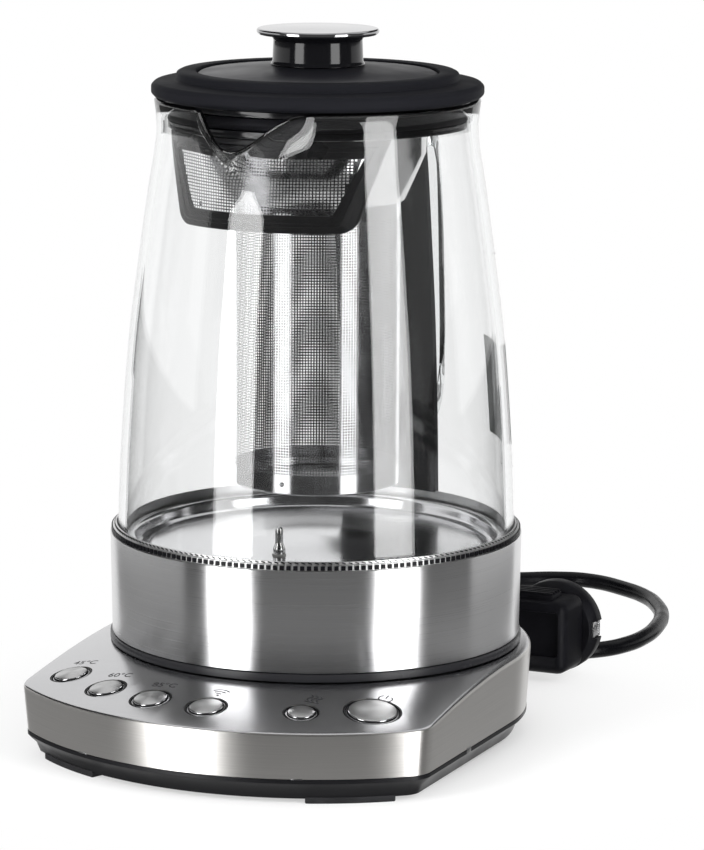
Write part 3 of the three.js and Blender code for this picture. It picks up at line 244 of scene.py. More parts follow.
for wall_start, wall_end, wall_low, wall_high, open_grey, inner_grey in walls:
    shape = bmesh.new()
    foot, head = (shape.verts.new(polar(wall_distance, radians(wall_start), height) * MM)
                  for height in (wall_low, wall_high))
    side = shape.edges.new((foot, head))
    spin(shape, [foot, head, side], radians(wall_end - wall_start), wall_steps)
    stage_card("studio_wall", shape, mirrored_only("wall_paint", open_grey, inner_grey))

for turn in map(radians, soft_box_turns):
    lamp = adjust(bpy.data.lights.new("soft_box", "AREA"), shape="RECTANGLE", size=soft_box_width * MM,
                  size_y=soft_box_height * MM, energy=soft_box_power)
    box = adjust(put("soft_box", lamp), location=polar(soft_box_distance, turn, soft_box_middle) * MM,
                 rotation_euler=(pi / 2, 0, turn), visible_camera=False, visible_glossy=False,
                 visible_transmission=False)
    shape = sheet(soft_box_width * MM, (face_high - face_low) * MM,
                  polar(soft_box_distance, turn, (face_low + face_high) / 2) * MM, box.rotation_euler)
    stage_card("soft_box_face", shape, mirrored_only("box_glow", face_glow, face_glow_inside))

# Lead
# A round three-core mains lead in black rubber, 6.5 mm thick. It leaves a ribbed bend relief in the
# rear of the base, lies in a loose loop on the table and ends in the plug.

lead_diameter, lead_length = 6.5, 734
pattern_low, pattern_high, grain_depth = 0.3, 0.7, 0.03 * MM
lead_route = [
    (0, 108.3, 11.5), (0, 118, 11.2), (1.5, 128, 10.9), (5, 140, 10.4), (11, 153, 8.6),
    (19, 166, 6), (27, 179, 4), (31.5, 192, 3.4), (27, 210.5, 3.4), (13.5, 224, 3.4), (-5, 229, 3.4),
    (-23.5, 224, 3.4), (-37, 210.5, 3.4), (-42, 192, 3.4), (-37, 171, 3.4), (-25, 153, 3.4), (-8, 142, 3.4),
    (8, 137.5, 3.4), (22, 135.5, 3.4), (37, 136, 3.4), (51, 141, 3.4), (61.5, 150, 3.4), (67.5, 163, 3.4),
    (69.5, 178, 3.4), (68, 197, 3.4), (62.5, 219, 3.4), (55, 234.5, 3.4), (46, 247.5, 3.4), (31, 260, 3.4),
    (10, 269, 3.4), (-3, 266.5, 3.4), (-16, 259, 3.4), (-31, 250, 3.4), (-46, 237, 3.4), (-56, 220, 3.4),
    (-60, 200, 3.4), (-58, 180, 3.4), (-52, 160, 4.6), (-38, 140, 9.4), (-20, 124, 15.5),
    (0, 115, 18.8), (10, 112.6, 18.9), (19.7, 112, 18.7),
]


def pattern(material, stretch, source="Object", detail=3.0, rough=0.55):
    """A cloudy pattern on Object coordinates or on a map of the piece, stretched each way."""
    tree = material.node_tree
    if source == "Object":
        start = add_node(tree, "TexCoord").outputs["Object"]
    else:
        start = add_node(tree, "UVMap", uv_map=source)
    stretch = stretch if isinstance(stretch, tuple) else (stretch, stretch, stretch)
    mapping = add_node(tree, "Mapping", {"Vector": start, "Scale": stretch})
    noise = {"Vector": mapping, "Scale": 1, "Detail": detail, "Roughness": rough}
    return add_node(tree, "TexNoise", noise).outputs["Fac"]


def spread(material, value, low=0.0, high=1.0):
    """Stretches the middle of a pattern between two levels."""
    return add_node(material.node_tree, "MapRange", {
        "Value": value, "From Min": pattern_low, "From Max": pattern_high, "To Min": low, "To Max": high})


def vary(material, value, low, high):
    """Lets a pattern move the roughness between two levels."""
    coat(material, {"Roughness": spread(material, value, low, high)})


def tint(material, value, first, second):
    """Lets a pattern move the colour between two tones."""
    mixed = add_node(material.node_tree, "Mix", {
        "Factor": spread(material, value), "A": (*first, 1), "B": (*second, 1)}, data_type="RGBA")
    coat(material, {"Base Color": mixed.outputs["Result"]})


def emboss(material, value, depth, strength=1.0):
    """Lets a pattern raise the surface by a depth in metres."""
    coat(material, {"Normal": add_node(material.node_tree, "Bump", {
        "Strength": strength, "Distance": depth, "Height": value})})


def rubber(name, colour, roughness, gloss=0.16):
    """Moulded rubber: matt, with a soft skin and a few lighter, drier patches."""
    made = finish(name, colour, roughness, gloss=gloss)
    dry = pattern(made, 140)
    tint(made, dry, colour, [part * 1.7 for part in colour])
    vary(made, dry, roughness - 0.07, roughness + 0.08)
    emboss(made, pattern(made, 2600, detail=2), grain_depth, 0.5)
    return made


lead_rubber = rubber("lead_rubber", (0.0025, 0.0025, 0.0032), 0.27, 0.1)
lead_curve = adjust(bpy.data.curves.new("lead", "CURVE"), dimensions="3D", bevel_resolution=6,
                    bevel_depth=lead_diameter / 2 * MM, use_fill_caps=True, resolution_u=6)
lead_curve.materials.append(lead_rubber)
knots = lead_curve.splines.new("BEZIER").bezier_points
knots.add(len(lead_route) - 1)
for knot, spot in zip(knots, lead_route):
    adjust(knot, co=Vector(spot) * MM + AXIS, handle_left_type="AUTO", handle_right_type="AUTO")
lead = put("lead", lead_curve)
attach(lead, "base")
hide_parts("power_cord")

# Bend relief
# A black rubber boot moulded on the lead, with ribs that get thinner towards its end. It is pushed
# through the rear wall of the base and held by a flange inside.


def turned(profile, steps=160, rounding=0.0, segments=2):
    """Spins a profile of radius and height round the vertical axis through the origin."""
    body = bmesh.new()
    rim = [body.verts.new((radius * MM, 0, height * MM)) for radius, height in profile]
    if profile[0] == profile[-1]:
        body.verts.remove(rim.pop())
        line = [body.edges.new(pair) for pair in zip(rim, rim[1:] + rim[:1])]
    else:
        line = [body.edges.new(pair) for pair in zip(rim, rim[1:])]
    spin(body, rim + line, 2 * pi, steps, use_merge=True)
    bmesh.ops.remove_doubles(body, verts=body.verts, dist=1e-7)
    bmesh.ops.recalc_face_normals(body, faces=body.faces)
    if rounding:
        soften(body, rounding, segments)
    return body


def soften(body, width, segments=2, sharper=28, chosen=None):
    """Rounds the edges of a body that are sharper than an angle."""
    edges = [edge for edge in (chosen or body.edges)
             if len(edge.link_faces) == 2 and edge.calc_face_angle() > radians(sharper)]
    bmesh.ops.bevel(body, geom=edges, offset=width * MM, offset_type="OFFSET", segments=segments,
                    profile=0.5, affect="EDGES", material=-1, clamp_overlap=True)


def shift(body, move=(0, 0, 0), turn=None):
    """Turns a whole body about the origin, then moves it."""
    matrix = Matrix.Translation(Vector(move) * MM) @ (turn or Matrix())
    bmesh.ops.transform(body, matrix=matrix, verts=body.verts)
    return body


def settle(body, name, rides_on, finishes, slot, *stands_for, smooth=32):
    """Makes a piece of a body in its place: smooth faces with crisp edges, on its moving part."""
    bmesh.ops.translate(body, vec=AXIS, verts=body.verts)
    piece = place(name, body, *(finishes if isinstance(finishes, list) else [finishes]))
    piece.data.polygons.foreach_set("use_smooth", [True] * len(piece.data.polygons))
    piece.data.set_sharp_from_angle(angle=radians(smooth))
    if stands_for:
        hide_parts(*stands_for)
    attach(piece, rides_on)
    return piece


along_y = Matrix.Rotation(-pi / 2, 4, "X")
relief_height, relief_ribs, relief_start, relief_end = 11.5, 7, 84.5, 106
relief_radius, relief_taper, relief_groove = 5.6, 1.2, 0.9
rib_pitch = (relief_end - relief_start) / relief_ribs
relief_profile = [(0, 70.8), (7.2, 70.8), (7.2, 72.6), (relief_radius, 72.6), (relief_radius, relief_start)]
for rib in range(relief_ribs):
    here = relief_start + rib_pitch * rib
    width = relief_radius - relief_taper * rib / relief_ribs
    relief_profile += [(width - relief_groove, here + 0.15 * rib_pitch),
                       (width - relief_groove, here + 0.45 * rib_pitch),
                       (width, here + 0.6 * rib_pitch), (width, here + rib_pitch)]
relief_profile += [(4.2, 108), (3.35, 108.2), (0, 108.2)]
settle(shift(turned(relief_profile, 48, 0.2), (0, 0, relief_height), along_y),
       "bend_relief", "base", lead_rubber, "black_rubber", "cord_gland")

# Plug
# A moulded two-pin earthed plug in black rubber, with a round face, grip ribs on its back and a side
# entry for the lead. The steel pins and the two earth strips are moulded in.

plug_x, plug_z, plug_face, plug_radius = 52, 18.7, 125, 18.5
plug_disc, plug_width, plug_tall, plug_deep, plug_taper = 9, 27, 30, 18, 0.1
plug_back, plug_top, entry_y = plug_face - plug_disc, plug_z + plug_tall / 2, 112
groove_size, recess_size = (3.6, 12, 7), (plug_width - 8, 3.4, plug_tall - 12)
ledge_size, rib_size, rib_step, plug_ribs = (plug_width - 9, 11, 3.4), (plug_width - 10, 1.3, 1.4), 2.7, 4
pin_turn, pin_reach, pin_radius, pin_length = radians(15), 9.5, 2.4, 19
strip_wall, strip_width, strip_depth, lug_size = 0.9, 6.4, 6.1, (2.2, 0.8, 6.4)


def clouded(name, colour, roughness, low, high, stretch, metallic=0, gloss=0.5):
    """A finish whose roughness moves between two levels in a cloudy pattern."""
    made = finish(name, colour, roughness, metallic, gloss)
    vary(made, pattern(made, stretch), low, high)
    return made


def cube(size, move, rounding=0.0, segments=2, turn=None):
    """A block of a size, with its middle at a place and its edges rounded."""
    body = bmesh.new()
    bmesh.ops.create_cube(body, size=1)
    bmesh.ops.scale(body, vec=Vector(size) * MM, verts=body.verts)
    if rounding:
        soften(body, rounding, segments)
    return shift(body, move, turn)


def gather(first, *others):
    """Puts several bodies together in one mesh."""
    for other in others:
        loose = bpy.data.meshes.new("loose")
        other.to_mesh(loose)
        other.free()
        first.from_mesh(loose)
        bpy.data.meshes.remove(loose)
    return first


def as_body(thing):
    """Turns an object with its modifiers, or its letters, into a body, and clears it away."""
    bpy.context.view_layer.update()
    worked = bpy.data.meshes.new_from_object(thing.evaluated_get(bpy.context.evaluated_depsgraph_get()))
    body = bmesh.new()
    body.from_mesh(worked)
    bpy.data.batch_remove((worked, thing, thing.data))
    return body


def baked(body, *steps):
    """Applies a list of modifiers to a body."""
    piece = place("blank", body)
    for kind, values in steps:
        adjust(piece.modifiers.new(kind.lower(), kind), **values)
    return as_body(piece)


def carved(body, cutters, *steps):
    """Cuts a list of bodies out of a body, after other modifiers."""
    cutter = place("cutter", gather(*cutters))
    body = baked(body, *steps, ("BOOLEAN", {"operation": "DIFFERENCE", "solver": "EXACT", "object": cutter}))
    bpy.data.objects.remove(cutter)
    return body


plug_rubber = rubber("plug_rubber", (0.0035, 0.0035, 0.0045), 0.42, 0.06)
pin_steel = clouded("pin_steel", (0.72, 0.72, 0.73), 0.22, 0.16, 0.34, (900, 60, 900), 1)
disc = turned([(0, plug_back), (plug_radius - 2.5, plug_back), (plug_radius, plug_back + 3.5),
               (plug_radius, plug_face), (14.5, plug_face), (14.2, plug_face - 0.8), (0, plug_face - 0.8)],
              64, 0.5)
disc = carved(shift(disc, (plug_x, 0, plug_z), along_y), [
    cube(groove_size, (plug_x + side * plug_radius, plug_face - 2, plug_z), 0.2) for side in (-1, 1)])
back = cube((plug_width, plug_deep + 3, plug_tall), (plug_x, plug_back - plug_deep / 2 + 1, plug_z), 4.5, 5)
for vert in back.verts:
    deep = max(0, (plug_back - vert.co.y / MM) / plug_deep)
    vert.co.x = plug_x * MM + (vert.co.x - plug_x * MM) * (1 - plug_taper * deep)
back = carved(back, [cube(recess_size, (plug_x, plug_back - plug_deep - 0.6, plug_z + 1.5), 1.2)])
ledge = cube(ledge_size, (plug_x - 3, plug_back - 10, plug_top), 0.7)
ribs = [cube(rib_size, (plug_x - 3, plug_back - 6 - rib_step * rib, plug_top + 1.9), 0.4)
        for rib in range(plug_ribs)]
neck_profile = [(0, 0), (6.6, 0), (6.2, 12), (5.4, 20)]
for start, rib, groove, next_rib in ((21.4, 5.4, 4.5, 5.2), (24.4, 5.2, 4.3, 4.9), (27.4, 4.9, 4.1, 4.6)):
    neck_profile += [(rib, start), (groove, start + 0.2), (groove, start + 1.4), (next_rib, start + 1.6)]
neck = turned(neck_profile + [(4.5, 31.6), (3.5, 32), (0, 32)], 40, 0.2)
shift(neck, (plug_x, entry_y, plug_z), Matrix.Rotation(-pi / 2, 4, "Y"))
plug = settle(gather(disc, back, ledge, neck, *ribs), "plug_shell", "base", plug_rubber, "black_rubber",
              "plug_body")
pins, strips = [], []
for number, side in ((1, 1), (2, -1)):
    pin = turned([(0, -1.7), (pin_radius, -1.7), (pin_radius, pin_length - 2), (1.9, pin_length - 0.5),
                  (0.9, pin_length), (0, pin_length)], 32, 0.15)
    shift(pin, (plug_x + side * pin_reach * sin(pin_turn), plug_face,
                plug_z + side * pin_reach * cos(pin_turn)), along_y)
    pins.append(settle(pin, f"plug_pin_steel_{number}", "base", pin_steel, "polished_steel",
                       f"plug_pin_{number}"))
for name, side in (("right", 1), ("left", -1)):
    strip = cube((strip_wall, strip_depth, strip_width),
                 (plug_x + side * (plug_radius - 1.85), plug_face - strip_depth / 2, plug_z), 0.25)
    lug = cube(lug_size, (plug_x + side * (plug_radius - 2.3), plug_face - 0.2, plug_z), 0.2)
    strips.append(settle(gather(strip, lug), f"earth_strip_{name}", "base", pin_steel, "brass",
                         f"earth_clip_{name}"))

# Tray of the base
# A black moulded tray closes the base from below. It stands back under the steel cover and carries
# four rubber feet and the posts for the boards. Three screws from below hold it to the connector.

base_front, base_rear, base_corner, base_top = 118, 82, 13, 35.5
tray_inset, tray_low, tray_high = 5.6, 1.5, 13
tray_profile = ((tray_inset + 1.4, tray_low), (tray_inset + 0.3, tray_low + 0.4),
                (tray_inset, tray_low + 1.2), (4.6, 5.2), (2.1, 7.6), (1.4, 8.4), (1.4, 9.8), (3.2, 9.8),
                (3.2, tray_high), (5.2, tray_high), (8.6, 10.3), (8.6, 3.8))
foot_half, foot_width, foot_thick = 16.4208, 14, 2.5
foot_places = (("front_right", 30.5, 112.6), ("front_left", -30.5, 112.6), ("rear_right", 140, 73.4),
               ("rear_left", -140, 73.4))


def only(kind, geometry):
    """The vertices or the edges of what an operator returns."""
    return [item for item in geometry if isinstance(item, kind)]


def base_loop(body, inset, height):
    """The base from above, drawn in by an inset: front arc, round corners, straight sides, rear arc."""
    side, reach = base_rear - base_corner, base_front - base_corner
    corner_y = -sqrt(reach ** 2 - side ** 2)
    corner_turn = atan2(side, -corner_y)
    before = set(body.verts)

    def added():
        verts = [vert for vert in body.verts if vert not in before]
        return verts, list({edge for vert in verts for edge in vert.link_edges})

    tip = body.verts.new((0, -(base_front - inset) * MM, height * MM))
    for x, y, angle, steps in ((0, 0, corner_turn, 24), (side, corner_y, pi / 2 - corner_turn, 10)):
        made = spin(body, [tip], angle, steps, Vector((x, y, height)) * MM)
        tip = only(BMVert, made["geom_last"])[0]
    for step in range(8):
        tip = bmesh.ops.extrude_vert_indiv(body, verts=[tip])["verts"][0]
        tip.co.y = corner_y * MM * (1 - (step + 1) / 8)
    spin(body, [tip], pi / 2, 36, (0, 0, height * MM))
    verts, edges = added()
    bmesh.ops.mirror(body, geom=verts + edges, axis="X", merge_dist=1e-7)
    bmesh.ops.remove_doubles(body, verts=added()[0], dist=1e-6)
    return added()[1]


def skin(body, loops):
    """Stretches faces from each loop of edges to the next."""
    for first, second in zip(loops, loops[1:]):
        bmesh.ops.bridge_loops(body, edges=first + second)


def swept(section, start, angle, steps):
    """Sweeps a closed section of radius and height round the axis, from a turn."""
    body = bmesh.new()
    face = body.faces.new([body.verts.new(polar(reach, start, height) * MM) for reach, height in section])
    spin(body, [face, *face.edges, *face.verts], angle, steps)
    bmesh.ops.recalc_face_normals(body, faces=body.faces)
    return body


def moulded(name, colour, roughness, grain=3200, gloss=0.16):
    """Black moulded plastic: a fine spark-eroded grain, and soft variation in its gloss."""
    made = clouded(name, colour, roughness, roughness - 0.05, roughness + 0.06, 60, gloss=gloss)
    emboss(made, pattern(made, grain, detail=2), grain_depth, 0.45)
    return made


def dress(material, *nodes):
    """Gives CAD solids that keep their shape a better finish."""
    for node in nodes:
        for slot in frame["nodes"][node].material_slots:
            slot.material = material


tray_plastic = moulded("tray_plastic", (0.006, 0.006, 0.007), 0.36, gloss=0.14)
tray = bmesh.new()
loops = [base_loop(tray, inset, height) for inset, height in tray_profile]
skin(tray, loops)
for loop in (loops[0], loops[-1]):
    bmesh.ops.edgeloop_fill(tray, edges=[edge for edge in loop if edge.is_valid])
bmesh.ops.recalc_face_normals(tray, faces=tray.faces)
settle(tray, "tray", "base", tray_plastic, "black_plastic", "base_chassis")

foot_rubber = rubber("foot_rubber", (0.013, 0.013, 0.014), 0.68)
for name, turn, radius in foot_places:
    half = foot_half / radius
    foot = swept([(radius - foot_width, 0), (radius, 0), (radius, foot_thick),
                  (radius - foot_width, foot_thick)], radians(turn) - half, 2 * half, 14)
    soften(foot, 0.5, 2, 40)
    settle(foot, f"foot_pad_{name}", "base", foot_rubber, "black_rubber", f"foot_{name}")

screw_zinc = clouded("screw_zinc", (0.62, 0.62, 0.6), 0.36, 0.28, 0.5, 700, 1)
dress(screw_zinc, *(f"{kind}_screw_{number}" for kind in ("base", "bottom") for number in (1, 2, 3)),
      "knob_screw")

# Cover of the base
# One pressing of brushed stainless sheet: flat under the jug, sloping to the front with six round
# holes, and folded down into a skirt. Small tabs of the skirt are bent over the tray.

skirt_low, skirt_draft, cover_wall, cover_fold = 10, 1.5, 1.2, 4.4
plateau_radius, plateau_middle, hub_mouth = 78, 60, 18.5
slope_turn, button_circle = radians(12), 101
button_turns = [radians(turn) for turn in (-39.7, -25.4, -12.3, 1.1, 21.1, 35.7)]
hole_radii = (8, 8, 8, 8, 6.7, 10.7)
hole_depth, gland_radius, gland_depth = 14, 5.9, 30
upright_below, sideways_above = 0.6, 0.93
tab_size, tab_height = (4.2, 0.9, 2.2), 9.4
tab_places = ((-44.6, -107.2, -22.6), (41.2, -108.5, 20.8), (80.3, -43, 90), (-80.3, -43, -90))


def streaked(material, lean):
    """Draws mirrored light out across the first direction of a piece's brushing."""
    tangent = add_node(material.node_tree, "Tangent", direction_type="UV_MAP", uv_map="brushing")
    coat(material, {"Anisotropic": lean, "Anisotropic Rotation": 0.25, "Tangent": tangent})


def brushed(name, colour, rough, fine=5200, along=14, lean=0.95, depth=0.000002, contrast=0.06):
    """Brushed stainless steel: streaks along the map's first direction."""
    made = finish(name, colour, rough, 1)
    streaked(made, lean)
    streaks = pattern(made, (along, fine, 1), "brushing", 5, 0.6)
    tint(made, streaks, *([part * (1 + change) for part in colour] for change in (-contrast, contrast)))
    vary(made, pattern(made, (along * 0.4, fine * 1.3, 1), "brushing"), rough - 0.02, rough + 0.02)
    emboss(made, streaks, depth, 0.3)
    return made


def slope(radius):
    """Height of the cover at a distance from the axis."""
    return base_top - max(0.0, radius - plateau_radius) * tan(slope_turn)


def button_place(turn):
    """Where a button stands: its own axis square to the slope, at its turn on the circle."""
    lean = polar(sin(slope_turn), turn, cos(slope_turn))
    upright = Vector((0, 0, 1)).rotation_difference(lean).to_matrix().to_4x4()
    return Matrix.Translation(polar(button_circle, turn, slope(button_circle)) * MM) @ upright


def drill(radius, depth, matrix, segments=64):
    """A round cutter about a place."""
    body = bmesh.new()
    bmesh.ops.create_cone(body, cap_ends=True, segments=segments, radius1=radius * MM, radius2=radius * MM,
                          depth=depth * MM, matrix=matrix)
    return body


cover_steel = brushed("cover_steel", (0.55, 0.55, 0.56), 0.2, lean=0.6)
skirt_steel = brushed("skirt_steel", (0.57, 0.558, 0.54), 0.38, 3600, 20, 0.8)
cover = bmesh.new()
weights = cover.edges.layers.float.new("bevel_weight_edge")
low_loop = base_loop(cover, skirt_draft, skirt_low)
ring = base_loop(cover, 0, base_top)
for vert in {vert for edge in ring for vert in edge.verts}:
    vert.co.z = slope(hypot(vert.co.x, vert.co.y) / MM) * MM
skin(cover, [low_loop, ring])
for edge in ring:
    middle = (edge.verts[0].co + edge.verts[1].co) / 2
    edge[weights] = 0.5 if -middle.y / middle.length > 0.6 else 1.0
for reach in (plateau_radius, plateau_middle, hub_mouth):
    grown = bmesh.ops.extrude_edge_only(cover, edges=ring)["geom"]
    for vert in only(BMVert, grown):
        vert.co *= reach * MM / hypot(vert.co.x, vert.co.y)
        vert.co.z = base_top * MM
    ring = only(BMEdge, grown)
bmesh.ops.recalc_face_normals(cover, faces=cover.faces)
if max(cover.faces, key=lambda face: face.calc_center_median().z).normal.z < 0:
    bmesh.ops.reverse_faces(cover, faces=cover.faces)
gland_place = Matrix.Translation((0, base_rear * MM, relief_height * MM)) @ along_y
holes = [drill(radius, hole_depth, button_place(turn)) for turn, radius in zip(button_turns, hole_radii)]
cover = carved(cover, [*holes, drill(gland_radius, gland_depth, gland_place, 32)],
               ("BEVEL", {"width": cover_fold * MM, "segments": 6, "limit_method": "WEIGHT"}),
               ("SOLIDIFY", {"thickness": cover_wall * MM, "offset": -1}))
map_layer = cover.loops.layers.uv.new("brushing")
for face in cover.faces:
    upright, sideways = abs(face.normal.z) < upright_below, abs(face.normal.x) > sideways_above
    face.material_index = 1 if upright else 0
    for loop in face.loops:
        spot = loop.vert.co
        run = spot.y if sideways else atan2(spot.x, -spot.y) * base_front * MM
        loop[map_layer].uv = (run, spot.z) if upright else (spot.x, spot.y)
settle(cover, "cover", "base", [cover_steel, skirt_steel], "brushed_steel", "base_cover", smooth=24)
# The tabs are the skirt's own steel but much darker: painted shade, for the shade they lie in under the
# skirt.
tab_steel_painted_shade = clouded("tab_steel_painted_shade", (0.3, 0.3, 0.3), 0.34, 0.28, 0.42, (500, 500, 90), 1)
settle(gather(*(cube(tab_size, (x, y, tab_height), 0.25, 2, Matrix.Rotation(radians(turn), 4, "Z"))
                for x, y, turn in tab_places)), "skirt_tabs", "base", tab_steel_painted_shade, "brushed_steel")

# Buttons
# Six domed steel caps, each with a polished rim, in a black frame plate behind the holes, which holds
# them by a flange. A short stem under each cap presses its switch on the board.

button_names = ("warm", "green_tea", "white_tea", "black_tea", "timer", "power")
cap_gap, bore_gap, bore_depth, flange, flange_low, stem_radius, stem_low = 1.0, 0.6, 8, 0.6, -4.2, 2.4, -7.9
collar_inner, collar_outer, collar_low, collar_high = 0.7, 0.3, -3.2, -0.2
plate_inner, plate_outer, plate_wall = button_circle - 13.2, button_circle + 11, 1.6
plate_left, plate_right, mapped_radius = 10.5, 13.2, 50
plate_fall = (cover_wall + 0.3) / cos(slope_turn)


def wound(body):
    """Maps a turned body: round its own axis first, then along its profile."""
    layer = body.loops.layers.uv.new("brushing")
    for face in body.faces:
        middle = face.calc_center_median()
        facing = atan2(middle.y, middle.x)
        for loop in face.loops:
            spot = loop.vert.co
            reach = hypot(spot.x, spot.y)
            turn = atan2(spot.y, spot.x) if reach > 1e-6 else facing
            turn += 2 * pi * round((facing - turn) / (2 * pi))
            loop[layer].uv = (turn * mapped_radius * MM, spot.z + reach)
    return body


frame_plastic = moulded("frame_plastic", (0.008, 0.008, 0.009), 0.3)
rim_steel = clouded("rim_steel", (0.48, 0.48, 0.49), 0.2, 0.15, 0.26, 260, 1)
cap_steel = finish("cap_steel", (0.55, 0.55, 0.55), 0.34, 1)
streaked(cap_steel, 0.85)
turning = pattern(cap_steel, (120, 6500, 1), "brushing")
tint(cap_steel, turning, (0.5, 0.5, 0.5), (0.6, 0.6, 0.6))
emboss(cap_steel, turning, 0.000004, 0.3)

collars, bores = [], []
for name, turn, hole in zip(button_names, button_turns, hole_radii):
    stand = button_place(turn)
    bores.append(drill(hole - bore_gap, bore_depth, stand))
    inner, outer = hole - collar_inner, hole - collar_outer
    collars.append(shift(turned([(inner, collar_low), (outer, collar_low), (outer, collar_high),
                                 (inner, collar_high), (inner, collar_low)], 64, 0.1), turn=stand))
    radius = hole - cap_gap
    cap = turned([(0, stem_low), (stem_radius, stem_low), (stem_radius, flange_low),
                  (radius + flange, flange_low), (radius + flange, -3.4), (radius, -3.4), (radius, -0.6),
                  (radius - 0.1, -0.4), (radius - 0.4, -0.3), (radius - 0.45, -0.7), (radius - 0.8, -0.7),
                  (radius - 0.8, 0.15), (radius - 0.9, 0.4), (radius - 1.15, 0.55), (radius * 0.6, 0.9),
                  (radius * 0.3, 1.02), (0, 1.05)], 72)
    for face in cap.faces:
        middle = face.calc_center_median() / MM
        reach = hypot(middle.x, middle.y)
        if reach < radius - 1.1 and middle.z > 0:
            face.material_index = 1
        # The groove between the rim and the dome is given the frame's black plastic: painted shade in the
        # groove.
        elif radius - 0.81 < reach < radius - 0.42 and middle.z > -0.72:
            face.material_index = 2
    settle(shift(wound(cap), turn=stand), f"cap_{name}", f"button_{name}_body",
           [rim_steel, cap_steel, frame_plastic], "polished_steel", f"button_{name}", smooth=40)
plate_start, plate_end = (button_turns[0] - plate_left / button_circle,
                          button_turns[-1] + plate_right / button_circle)
plate = swept([(reach, slope(reach) - plate_fall - wall) for reach, wall in (
    (plate_inner, plate_wall), (plate_outer, plate_wall), (plate_outer, 0), (plate_inner, 0))],
    plate_start, plate_end - plate_start, 48)
settle(gather(carved(plate, bores), *collars), "button_plate", "base", frame_plastic, "black_plastic",
       "button_frame")

# Marks of the buttons
# Fine dark grey print on the slope behind each button: three temperatures, a signal for the timer's
# sound, steam for keeping warm, and the usual power sign. It is level with the front of the base.

mark_distance, mark_lift, mark_height = 11.8, 0.04, 4.7


def lettered(words, height):
    """Flat letters about the origin, of a height."""
    line = adjust(bpy.data.curves.new("letters", "FONT"), body=words, size=height, align_x="CENTER",
                  align_y="CENTER")
    return as_body(put("letters", line))


def sweep(radius, width, start, end, centre=(0, 0, 0), steps=14):
    """A flat band along an arc, between two angles in degrees."""
    body = bmesh.new()
    turn = radians(start)
    ends = [body.verts.new(Vector(centre) + Vector((cos(turn), sin(turn), 0)) * reach)
            for reach in (radius - width / 2, radius + width / 2)]
    spin(body, [*ends, body.edges.new(ends)], radians(end - start), steps, centre)
    return body


def outwards(body, sides=(1, 1, 0)):
    """Turns round the faces of a thin body that look back at the axis, or at another side."""
    for face in body.faces:
        face.normal_update()
    bmesh.ops.reverse_faces(body, faces=[
        face for face in body.faces if face.normal.dot(face.calc_center_median() * Vector(sides)) < 0])
    return body


print_grey = clouded("print_grey", (0.02, 0.02, 0.022), 0.5, 0.42, 0.58, 900)
signal = gather(*(sweep(radius, 0.55, 48, 132, (0, -2.2, 0)) for radius in (1.5, 3.1, 4.7)),
                sheet(0.9, 0.9, (0, -2.2, 0)))
steam = gather(sheet(5.6, 0.45, (0, -2.9, 0)), *(
    sweep(1.15, 0.5, start, start + 150, (left + side, rise, 0)) for left in (-1.8, 0, 1.8)
    for side, start, rise in ((0.55, 105, -0.9), (-0.55, -75, 1.2))))
power = gather(sweep(2.5, 0.5, 125, 415, steps=28), sheet(0.5, 2.8, (0, 1.6, 0)))
marks = [lettered(words, mark_height) for words in ("45°C", "60°C", "85°C")]
marks += [signal, steam, power]
for mark, turn in zip(marks, button_turns):
    spot = polar(button_circle, turn, 0) + Vector((0, mark_distance, 0))
    spot.z = slope(spot.length) + mark_lift
    away = atan2(spot.x, -spot.y)
    lean = polar(sin(slope_turn), away, cos(slope_turn))
    flat = (Vector((1, 0, 0)) - lean * lean.x).normalized()
    stand = Matrix((flat, lean.cross(flat), lean)).transposed().to_4x4()
    bmesh.ops.scale(mark, vec=(MM, MM, MM), verts=mark.verts)
    outwards(shift(mark, spot, stand), (0, 0, 1))
settle(gather(*marks), "button_marks", "base", print_grey, "black_plastic")

# Boards
# The control board with a switch under each button, and the power board with its relays, in green
# glass-fibre laminate under a solder mask.

board_mask = finish("board_mask", (0.015, 0.11, 0.05), 0.35)
tint(board_mask, pattern(board_mask, 420, detail=1), (0.012, 0.085, 0.04), (0.03, 0.17, 0.08))
dress(board_mask, "control_board", "power_board")

# Connector
# The round cordless connector in the middle of the base, in black plastic, with a brass contact in
# its ring slot and one in its centre. The jug's socket drops over it and can turn on it.

hub_plastic = moulded("hub_plastic", (0.014, 0.014, 0.015), 0.36)
hub = turned([(0, 27), (18, 27), (18, 31.6), (26, 31.6), (26, 34), (18, 34), (18, 45.5), (17, 46.5),
              (13, 46.5), (13, 38.5), (8, 38.5), (8, 46.5), (4.2, 46.5), (4.2, 38.5), (0, 38.5)], 96, 0.35)
settle(hub, "connector_hub", "base", hub_plastic, "black_plastic", "base_connector")
contact_brass = clouded("contact_brass", (0.78, 0.56, 0.22), 0.3, 0.22, 0.42, 500, 1)
dress(contact_brass, "contact_ring", "contact_centre")
socket = turned([(0, 39.6), (3.2, 39.6), (3.2, 46.9), (9.5, 46.9), (9.5, 40.9), (11.5, 40.9), (11.5, 46.9),
                 (19, 46.9), (19, 38.7), (21.2, 38.7), (21.2, 55), (0, 55)], 96, 0.3)
settle(socket, "socket_shell", "socket", hub_plastic, "black_plastic", "jug_socket")

# Foot of the jug
# A black moulded bottom plate with a low ring that the jug stands on. Three screws hold it to studs
# under the heater plate, and it grips the steel band between itself and the glass.

foot_plastic = moulded("foot_plastic", (0.018, 0.018, 0.02), 0.24)
foot_ring = turned([(78, 35.8), (78, 38.7), (76.1, 38.7), (76.1, 46), (74.1, 46), (74.1, 41), (21.7, 41),
                    (21.7, 39), (75, 39), (75, 35.8), (78, 35.8)], 192, 0.45)
settle(foot_ring, "foot_ring", "jug", foot_plastic, "black_plastic", "jug_bottom")

# Steel band
# A rolled strip of brushed stainless steel round the foot of the glass, brushed the long way round.
# Its rims are deburred, and it is gripped between the foot ring and the toothed ring.

